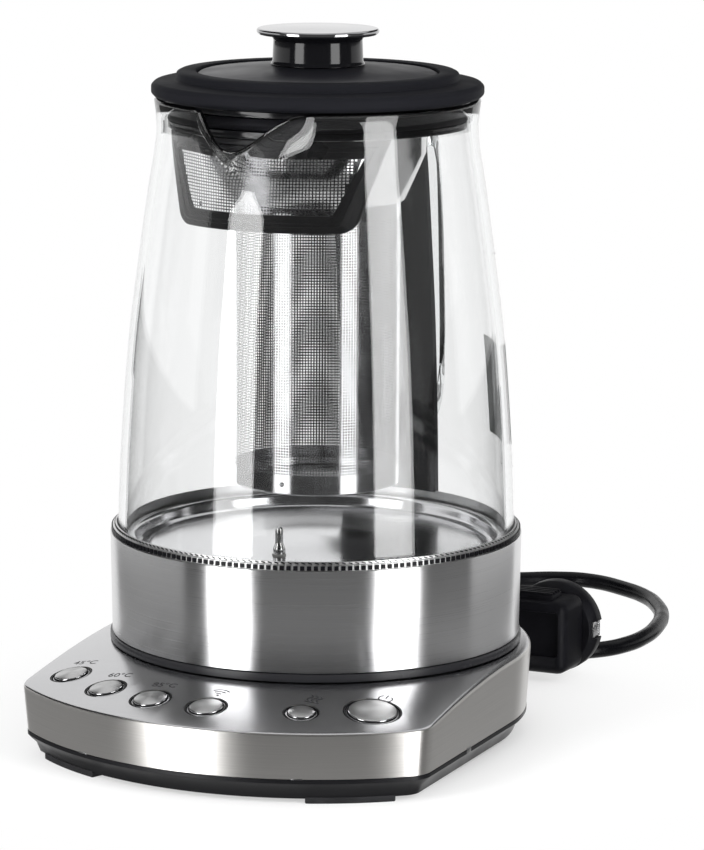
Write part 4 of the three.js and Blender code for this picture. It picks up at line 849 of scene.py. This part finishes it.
band_steel = brushed("band_steel", (0.66, 0.66, 0.665), 0.29, lean=1.0, depth=0.00000004, contrast=0.045)
band = turned([(76.4, 39), (77.2, 39), (77.8, 77), (77, 77), (76.4, 39)], 192, 0.25)
settle(wound(band), "band", "jug", band_steel, "brushed_steel", "steel_band")

# Toothed ring
# A polished ring that centres the glass in the band. A black gasket in it ends in a fine row of teeth
# that shows as dark squares round the rim of the band, with a row of small slanted marks above them.

tooth_count = 195
tooth_size, tooth_place = (1.6, 0.9, 1.6), (0, -76.95, 78.1)
notch_size, notch_place, notch_lean = (1.5, 0.6, 0.42), (0.3, -75.95, 79.75), radians(18)
ring_gloss = clouded("ring_gloss", (0.004, 0.004, 0.005), 0.3, 0.24, 0.4, 300, gloss=0.1)
tooth_steel = clouded("tooth_steel", (0.72, 0.72, 0.72), 0.36, 0.3, 0.44, 300, 1)
toothed = turned([(75.4, 66.5), (76.3, 66.5), (76.3, 76.9), (76.9, 77.1), (76.9, 79.1), (76.1, 79.3),
                  (76, 80.2), (75.4, 80.2), (75.4, 66.5)], tooth_count)
for face in toothed.faces:
    face.material_index = 1
for size, spot, lean in ((tooth_size, tooth_place, 0), (notch_size, notch_place, notch_lean)):
    tooth = cube(size, spot, turn=Matrix.Rotation(lean, 4, "Y"))
    spin(tooth, [*tooth.verts, *tooth.edges, *tooth.faces], 2 * pi, tooth_count, use_duplicate=True)
    gather(toothed, tooth)
settle(toothed, "toothed_ring", "jug", [ring_gloss, tooth_steel], "gloss_black", "rim_ring")

# Heater
# The polished stainless floor of the jug with a pressed groove, sealed to the glass by pale silicone.
# A sensor pin stands in it. Under it lie the aluminium spreader, the tubular element and the control.

sensor_place = (0, -33.5, 0)
floor_steel = brushed("floor_steel", (0.82, 0.82, 0.835), 0.16, 3000, 30, 0.5, 0.000001)
heater = turned([(0, 74.5), (8, 74.42), (16, 74.05), (24, 73.5), (30, 73.15), (40, 73), (55, 72.95),
                 (61.6, 73), (63, 72.7), (63.9, 72.1), (64.8, 71.8), (66.5, 71.8), (67.4, 72.4),
                 (67.8, 73.6), (67.9, 75.4), (68.2, 76.3), (68.8, 76.8), (69.5, 76.85), (71.8, 76.5),
                 (71.8, 75.6), (69, 75.4), (68.9, 71.7), (64.3, 71.6), (64.3, 66.2), (63.3, 66.2),
                 (63.3, 70.7), (56.4, 70.7), (56.4, 71.9), (0, 71.9)], 160)
settle(wound(heater), "floor_plate", "jug", floor_steel, "polished_steel", "heater_plate")
dress(clouded("silicone", (0.72, 0.72, 0.69), 0.5, 0.42, 0.62, 200), "jug_seal")
pin_rubber = rubber("pin_rubber", (0.4, 0.4, 0.39), 0.5)
grommet = turned([(2.1, 71.9), (2.6, 71.9), (2.6, 73.5), (2.4, 73.8), (2.1, 73.8), (2.1, 71.9)], 48)
settle(shift(grommet, sensor_place), "pin_seal", "jug", pin_rubber, "pale_silicone", "sensor_grommet")
sensor_steel = clouded("sensor_steel", (0.66, 0.66, 0.66), 0.1, 0.06, 0.16, 400, 1)
sensor = turned([(0, 63.9), (2, 63.9), (2, 73.6), (2.3, 73.9), (2.3, 75.6), (2.05, 76.4), (1.55, 77.6),
                 (1.45, 78.2), (1.45, 82.6), (1.3, 83.4), (0.8, 83.9), (0, 84)], 48)
settle(shift(sensor, sensor_place), "sensor", "jug", sensor_steel, "polished_steel", "sensor_pin")
dress(clouded("cast_aluminium", (0.6, 0.6, 0.61), 0.42, 0.34, 0.55, 350, 1), "heat_spreader",
      "heating_element")
dress(tray_plastic, "heater_control")

# Glass jug
# Blown borosilicate glass, 3 mm thick, narrower at the neck, with a fire-rounded rim and a pouring
# lip drawn out at the front. Its foot has a flange that sits on the silicone seal.

glass_foot, glass_neck, glass_thick, glass_rows = 75.0, 60.0, 3.0, 40
band_top, rim_top, glass_low = 78.5, 241.0, 66.5
wall_shares = ((0, 1), (0.21, 0.9), (0.45, 0.7), (0.64, 0.44), (0.78, 0.23), (0.925, 0), (1, 0.067))
lip_reach, lip_dip, lip_half, lip_height = 17.5, 12.5, radians(24), 42.0


def glass_radius(height):
    """Radius of the glass's outer wall at a height, a smooth curve through its shares."""
    share = min(1.0, max(0.0, (height - band_top) / (rim_top - band_top)))
    last = len(wall_shares) - 1
    number = next((index for index in range(last - 1) if share <= wall_shares[index + 1][0]), last - 1)

    def steep(index):
        (low, before), (high, after) = wall_shares[max(0, index - 1)], wall_shares[min(last, index + 1)]
        return (after - before) / (high - low)

    (start, first), (end, second) = wall_shares[number:number + 2]
    span = end - start
    t = (share - start) / span
    width = (first * (2 * t ** 3 - 3 * t ** 2 + 1) + steep(number) * span * (t ** 3 - 2 * t ** 2 + t)
             + second * (3 * t ** 2 - 2 * t ** 3) + steep(number + 1) * span * (t ** 3 - t ** 2))
    return glass_neck + (glass_foot - glass_neck) * width


clear_glass = finish("clear_glass", (1, 1, 1), 0.0)
coat(clear_glass, {"Transmission Weight": 1, "IOR": 1.47})
tree = clear_glass.node_tree
depth = add_node(tree, "VolumeAbsorption", {"Color": (0.78, 0.86, 0.87, 1), "Density": 14})
feed(tree.nodes["Material Output"], {"Volume": depth})

rim_radius = glass_thick / 2
wall_top = rim_top - rim_radius
heights = [band_top + (wall_top - band_top) * row / glass_rows for row in range(glass_rows + 1)]
outside = [(glass_radius(height), height) for height in heights]
inside = [(radius - glass_thick, height) for radius, height in reversed(outside)]
rim_arc = []
for turn in (radians(30 * step) for step in range(1, 6)):
    rim_arc.append((glass_radius(rim_top) + rim_radius * (cos(turn) - 1),
                    wall_top + rim_radius * sin(turn)))
glass = turned([(66.4, glass_low), (73.5, glass_low), (75, 68), *outside, *rim_arc, *inside, (72, 72),
                (70.5, 69.5), (66, 69.5), (66, glass_low), (66.4, glass_low)], 180)
for vert in glass.verts:
    reach = hypot(vert.co.x, vert.co.y)
    turn = abs(atan2(vert.co.x, -vert.co.y)) / lip_half
    rise = (vert.co.z / MM - (rim_top - lip_height)) / lip_height
    if rise > 0 and turn < 1:
        drawn = cos(pi / 2 * turn) ** 1.5
        vert.co.xy *= 1 + lip_reach * MM * drawn * rise ** 2.2 / reach
        vert.co.z -= lip_dip * MM * drawn ** 2.8 * rise
settle(glass, "jug_glass", "jug", clear_glass, "clear_glass", "glass_jug", smooth=50)

# Level marks
# Printed on the right rear of the glass: a grey field with the full level in figures, and fainter
# white lines for the levels above and below it.

field_turns, field_heights = (108, 132.5), (110.7, 148.6)
figures = (("1.0 l", 5, 116.5, 140), ("MAX", 3, 116.5, 134.4), ("1.2 l", 4, 116, 186),
           ("0.5 l", 4, 116, 104.6))
lines = ((12, 116.5, 137), (10, 116, 182.6), (10, 116, 101.6))
field_lift, print_lift, line_width = 0.06, 0.1, 0.5


def on_glass(body, turn, height, lift):
    """Wraps a flat body, drawn in millimetres, on the outside of the glass about a place."""
    for vert in body.verts:
        here = height + vert.co.y
        radius = glass_radius(here) + lift
        vert.co = polar(radius, radians(turn) + vert.co.x / radius, here) * MM
    return outwards(body)


field_grey = clouded("field_grey", (0.36, 0.385, 0.375), 0.6, 0.5, 0.68, 500, gloss=0.1)
print_white = clouded("print_white", (0.72, 0.74, 0.76), 0.45, 0.38, 0.52, 500)
field_turn, field_middle = sum(field_turns) / 2, sum(field_heights) / 2
field_width = radians(field_turns[1] - field_turns[0]) * glass_radius(field_middle)
field = sheet(field_width, field_heights[1] - field_heights[0], columns=16, rows=16)
settle(on_glass(field, field_turn, field_middle, field_lift), "level_field", "jug", field_grey,
       "clear_glass")
prints = [on_glass(lettered(words, size), *spot, print_lift) for words, size, *spot in figures]
prints += [on_glass(sheet(width, line_width), *spot, print_lift) for width, *spot in lines]
settle(gather(*prints), "level_figures", "jug", print_white, "clear_glass")

# Handle
# A clear glass strap bent into a loop, both its ends fused to the rear of the jug's wall. Its edges
# are fire-rounded.

handle_reach, handle_low, handle_high, handle_width, handle_edge = 112.5, 90, 224, 21, 2.4
join_depth, join_free = 0.6, 67
handle_outer = ((0.8, 1), (0.889, 0.998), (0.951, 0.962), (0.978, 0.893), (0.996, 0.761), (1, 0.52),
                (1, 0.31), (0.969, 0.164), (0.876, 0.087), (0.73, 0.006))
handle_inner = ((0.79, 0.925), (0.862, 0.924), (0.9, 0.895), (0.919, 0.83), (0.9218, 0.56),
                (0.9218, 0.3), (0.9, 0.22), (0.844, 0.165), (0.74, 0.092))


def handle_line(shares, steps=48):
    """A smooth line through the handle's shares of reach and rise, with its ends in the glass."""
    spots = [Vector((handle_reach * reach, handle_low + (handle_high - handle_low) * rise))
             for reach, rise in shares]
    line = []
    for step in range(steps + 1):
        along = (len(spots) - 1) * step / steps
        number = min(int(along), len(spots) - 2)
        t = along - number
        a, b = spots[max(0, number - 1)], spots[number]
        c, d = spots[number + 1], spots[min(len(spots) - 1, number + 2)]
        line.append(((2 * b) + (c - a) * t + (2 * a - 5 * b + 4 * c - d) * t ** 2
                     + (3 * b - a - 3 * c + d) * t ** 3) / 2)
    return line


outer_line, inner_line = handle_line(handle_outer), handle_line(handle_inner)
top_join, low_join = (glass_radius(outer_line[end].y) - join_depth for end in (0, -1))
outline = [(top_join, outer_line[0].y), *outer_line, (low_join, outer_line[-1].y),
           (low_join, inner_line[-1].y), *reversed(inner_line), (top_join, inner_line[0].y)]
handle = bmesh.new()
strap = handle.faces.new([handle.verts.new(Vector((-handle_width / 2, reach, rise)) * MM)
                          for reach, rise in outline])
sides = only(BMVert, bmesh.ops.extrude_face_region(handle, geom=[strap])["geom"])
bmesh.ops.translate(handle, vec=(handle_width * MM, 0, 0), verts=sides)
bmesh.ops.recalc_face_normals(handle, faces=handle.faces)
rails = [edge for edge in handle.edges if abs(edge.verts[0].co.x - edge.verts[1].co.x) < 1e-6
         and min(vert.co.y for vert in edge.verts) > join_free * MM]
soften(handle, handle_edge, 4, 60, rails)
settle(handle, "handle_glass", "jug", clear_glass, "clear_glass", "glass_handle", smooth=40)

# Guard strip
# A black moulded strip that lies along the rear of the glass between the handle's arms. It keeps the
# fingers off the hot wall and has a window for each arm. A thin black film lines it on the glass.

guard_half, guard_low, guard_high, guard_columns, guard_rows = 20.5, 79.7, 230, 28, 84
guard_wall, guard_gap, guard_edge, film_wall, film_gap = 2.5, 0.3, 0.7, 0.2, 0.05
window_half, windows = handle_width / 2 + 0.4, ((213.5, 224.6), (89.3, 104.8))


def cut(body, where, square_to, **options):
    """Cuts through the whole of a body with a plane."""
    bmesh.ops.bisect_plane(body, geom=[*body.verts, *body.edges, *body.faces], plane_co=where,
                           plane_no=square_to, **options)


guard_plastic = moulded("guard_plastic", (0.008, 0.008, 0.009), 0.36, gloss=0.08)
guard = sheet(2 * guard_half, guard_high - guard_low, (0, (guard_low + guard_high) / 2, 0),
              columns=guard_columns, rows=guard_rows)
for side in (-window_half, window_half):
    cut(guard, (side, 0, 0), (1, 0, 0))
for height in (height for window in windows for height in window):
    cut(guard, (0, height, 0), (0, 1, 0))
film = guard.copy()
gone = [face for face in guard.faces if abs(face.calc_center_median().x) < window_half
        and any(low < face.calc_center_median().y < high for low, high in windows)]
bmesh.ops.delete(guard, geom=gone, context="FACES")
for body, gap in ((guard, guard_gap), (film, film_gap)):
    for vert in body.verts:
        width, height = vert.co.x, vert.co.y
        vert.co = Vector((width, sqrt((glass_radius(height) + gap) ** 2 - width ** 2), height)) * MM
    outwards(body)
guard = baked(guard, ("SOLIDIFY", {"thickness": guard_wall * MM, "offset": 1}),
              ("BEVEL", {"width": guard_edge * MM, "segments": 3, "limit_method": "ANGLE",
                         "angle_limit": 0.9}))
film = baked(film, ("SOLIDIFY", {"thickness": film_wall * MM, "offset": 1}))
settle(gather(guard, film), "guard", "jug", guard_plastic, "black_plastic", "handle_guard")

# Ring lid
# A matt black moulded ring that lies on the rim of the glass, with a raised inner tier round the
# infuser. Below it a gloss black collar with a silicone lip seal holds it in the neck.

lid_plastic = moulded("lid_plastic", (0.0096, 0.0098, 0.012), 0.55, 2600, 0.02)
ring_lid = turned([(41.1, 241.3), (60.6, 241.3), (62, 242.7), (62, 245.4), (60.6, 246.8), (56, 247.3),
                   (52.6, 247.6), (52.6, 250.1), (51.2, 250.8), (45.3, 250.8), (45.3, 245.7),
                   (41.1, 245.7), (41.1, 241.3)], 160, 0.5, 3)
settle(ring_lid, "lid_ring", "lid", lid_plastic, "black_plastic", "ring_lid")
collar_gloss = clouded("collar_gloss", (0.004, 0.004, 0.005), 0.1, 0.07, 0.16, 120, gloss=0.3)
collar = turned([(51.6, 230.8), (55.8, 230.8), (55.8, 233.4), (54.3, 233.4), (54.3, 238.4), (55.8, 238.4),
                 (55.8, 241), (51.6, 241), (51.6, 230.8)], 160, 0.35)
settle(collar, "collar", "lid", collar_gloss, "gloss_black", "lid_collar")
seal_rubber = rubber("seal_rubber", (0.004, 0.004, 0.005), 0.5, 0.06)
seal = turned([(54.6, 233.7), (55.8, 233.7), (56.4, 235), (56.7, 235.9), (56.4, 236.8), (55.8, 238.1),
               (54.6, 238.1), (54.6, 233.7)], 160, 0.2)
settle(seal, "lip_seal", "lid", seal_rubber, "black_rubber", "lid_seal")

# Strainer
# A curved black frame clipped under the collar behind the pouring lip, with a raised bead near its
# edge. Three small rivets hold a panel of perforated steel in it.

strainer_radius, strainer_top, strainer_tall = 55.4, 230.5, 33.5
strainer_half, strainer_flare, strainer_border, strainer_lean = 34.0, 9.0, 6.5, 1.4
strainer_low = strainer_top - strainer_tall
strainer_steps = ((0, -1.2), (0, -0.1), (0.4, 0.3), (2.2, 0.3), (2.6, 0.7), (3.6, 0.7), (4.0, 0.3),
                  (5.9, 0.3), (6.5, -0.2), (6.5, -1.2))
drawn_apart, strip_pitch = 10, 2.2
frame_depth, panel_depth, rivet_depth = 0.7, 1.3, 0.9
hole_pitch, hole_share = 1.15, 0.27
rivet_radius, rivet_places, rivet_height = 0.9, (-24, -4, 21), strainer_low + strainer_border + 1.8


def curl(body, radius):
    """Bends a flat body, drawn as width, depth and height, onto the strainer's cylinder."""
    for vert in body.verts:
        width, depth, height = vert.co
        reach = radius + depth + strainer_lean * (strainer_top - height) / strainer_tall
        vert.co = Vector((width, -sqrt(reach ** 2 - width ** 2), height)) * MM
    bmesh.ops.recalc_face_normals(body, faces=body.faces)


def punch(body, faces, border):
    """Punches a hole in each of some faces, inside a border."""
    bmesh.ops.inset_individual(body, faces=faces, thickness=border)
    bmesh.ops.delete(body, geom=faces, context="FACES")


def bead(radius, flat=1):
    """A small ball, or a flattened one, about the origin."""
    body = bmesh.new()
    bmesh.ops.create_uvsphere(body, u_segments=16, v_segments=8, radius=radius * MM)
    bmesh.ops.scale(body, vec=(1, flat, 1), verts=body.verts)
    return body


def strainer_loop(body, inset, depth):
    """One outline of the frame, drawn in by an inset: straight on top, with round lower corners."""
    low, high = strainer_low + inset, strainer_top - inset
    narrow, wide = strainer_half - inset, strainer_half + strainer_flare - inset
    before = set(body.verts)
    corners = [body.verts.new(spot) for spot in (
        (-wide, depth, high), (-narrow, depth, low), (narrow, depth, low), (wide, depth, high))]
    body.faces.new(corners)
    body.normal_update()
    bmesh.ops.bevel(body, geom=corners[1:3], offset=4.5 - inset * 0.5, offset_type="OFFSET", segments=6,
                    profile=0.5, affect="VERTICES", material=-1)
    ring = {vert for vert in body.verts if vert not in before}
    edges = list({edge for vert in ring for edge in vert.link_edges})
    bmesh.ops.delete(body, geom=[face for face in body.faces if set(face.verts) == ring],
                     context="FACES_ONLY")
    return edges


strainer_plastic = moulded("strainer_plastic", (0.011, 0.011, 0.012), 0.3)
strainer = bmesh.new()
loops = [strainer_loop(strainer, inset, number * drawn_apart)
         for number, (inset, _) in enumerate(strainer_steps)]
skin(strainer, loops + loops[:1])
for vert in strainer.verts:
    vert.co.y = strainer_steps[round(vert.co.y / drawn_apart)][1]
last_strip = int((strainer_half + strainer_flare) / strip_pitch)
for step in range(-last_strip, last_strip + 1):
    cut(strainer, (step * strip_pitch, 0, 0), (1, 0, 0))
curl(strainer, strainer_radius - frame_depth)
settle(strainer, "strainer_rim", "lid", strainer_plastic, "black_plastic", "strainer_frame")

mesh_steel = clouded("mesh_steel", (0.34, 0.34, 0.35), 0.2, 0.1, 0.26, 150, 1)
window_foot = strainer_half - strainer_border
panel_columns = round(2 * (window_foot + strainer_flare + 0.2) / hole_pitch)
panel_rows = round((strainer_tall - 2 * strainer_border) / hole_pitch)
panel = sheet(panel_columns * hole_pitch, panel_rows * hole_pitch, (0, 0, strainer_top - strainer_tall / 2),
              Matrix.Rotation(pi / 2, 3, "X"), panel_columns, panel_rows)
slant = strainer_flare / strainer_tall
punch(panel, [face for face in panel.faces for spot in [face.calc_center_median()]
              if abs(spot.x) < window_foot - 0.6 + slant * (spot.z - strainer_low)], hole_pitch * hole_share)
for side in (-1, 1):
    cut(panel, (side * (window_foot + 0.8), 0, strainer_low),
        Vector((side * strainer_tall, 0, -strainer_flare)).normalized(), clear_outer=True)
curl(panel, strainer_radius - panel_depth)
rivets = []
for x in rivet_places:
    spot = (x, -sqrt((strainer_radius - rivet_depth) ** 2 - x ** 2), rivet_height)
    turn = Matrix.Rotation(asin(x / strainer_radius), 4, "Z")
    rivets.append(shift(bead(rivet_radius, 0.5), spot, turn))
settle(gather(panel, *rivets), "strainer_panel", "lid", mesh_steel, "polished_steel", "strainer_mesh")

# Infuser
# A polished steel funnel that hangs in the ring lid by its rim, and the tea tube below it: a rolled
# sheet with fine round holes between two plain bands, closed by a pressed cap.

tube_radius, tube_low, tube_high, tube_pitch, tube_hole_share = 31.3, 96.4, 206, 1.06, 0.24
holes_low, holes_high, weld_radius, weld_height = 103, 197.5, 0.9, 99.5
funnel_steel = clouded("funnel_steel", (0.7, 0.7, 0.7), 0.14, 0.1, 0.2, 90, 1)
funnel = turned([(31.6, 203), (33, 203), (40.6, 221), (40.6, 246), (44.2, 246), (44.2, 246.8),
                 (39.8, 246.8), (39.8, 221.8), (32.4, 204), (31.6, 206), (31.6, 203)], 128, 0.3)
settle(wound(funnel), "funnel", "infuser", funnel_steel, "polished_steel", "infuser_funnel")

tube_steel = clouded("tube_steel", (0.68, 0.68, 0.69), 0.13, 0.09, 0.18, 80, 1)
tube_rows = round((holes_high - holes_low) / tube_pitch)
tube_levels = [tube_low, *(holes_low + (holes_high - holes_low) * row / tube_rows
                           for row in range(tube_rows + 1)), tube_high]
tube = outwards(turned([(tube_radius, height) for height in tube_levels],
                       round(2 * pi * tube_radius / tube_pitch)))
punch(tube, [face for face in tube.faces if holes_low * MM < face.calc_center_median().z < holes_high * MM],
      tube_pitch * tube_hole_share * MM)
settle(tube, "tea_tube", "infuser", tube_steel, "brushed_steel", "infuser_tube", smooth=60)
tube_cap = turned([(0, 95.5), (30, 95.5), (31.3, 95.9), (31.3, 96.4), (30.4, 96.6), (30.4, 99), (29.8, 99),
                   (29.8, 96.3), (0, 96.3)], 128, 0.15)
weld = shift(bead(weld_radius), (0, -tube_radius, weld_height))
settle(gather(tube_cap, weld), "tube_cap", "infuser", tube_steel, "brushed_steel", "infuser_bottom")

# Inner lid and knob
# A matt black lid that closes the infuser, with a rubber seal. On it stands a gloss black stem with
# a polished steel cap, held by one screw from inside.

disc_plastic = moulded("disc_plastic", (0.010, 0.010, 0.013), 0.4, 2600, 0.3)
inner_lid = turned([(0, 250.5), (17.7, 250.5), (35.2, 247.1), (35.2, 239.1), (39.4, 239.1), (39.4, 240.3),
                    (37.2, 240.3), (37.2, 247.1), (44.8, 247.1), (44.8, 249.6), (43.4, 250.3),
                    (30, 251.8), (17.7, 252.9), (0, 252.9)], 128, 0.4)
settle(inner_lid, "lid_disc", "top_lid", disc_plastic, "black_plastic", "inner_lid")
disc_seal = turned([(37.5, 240.6), (39.4, 240.6), (39.4, 244.2), (37.5, 244.2), (37.5, 240.6)], 128, 0.3)
settle(disc_seal, "disc_seal", "top_lid", seal_rubber, "black_rubber", "inner_lid_seal")
stem = turned([(0, 253.2), (17.7, 253.2), (16.9, 254.4), (16.6, 262.4), (17.7, 264), (0, 264)], 96, 0.4)
settle(stem, "stem", "top_lid", collar_gloss, "gloss_black", "knob_stem")
knob_steel = clouded("knob_steel", (0.38, 0.38, 0.39), 0.08, 0.05, 0.12, 60, 1)
knob = turned([(0, 264.3), (22.1, 264.3), (22.8, 265), (22.8, 266), (22.3, 266.5), (21.3, 266.5),
               (11, 266.8), (0, 267)], 128, 0.25, 3)
settle(wound(knob), "knob", "top_lid", knob_steel, "polished_steel", "knob_cap")
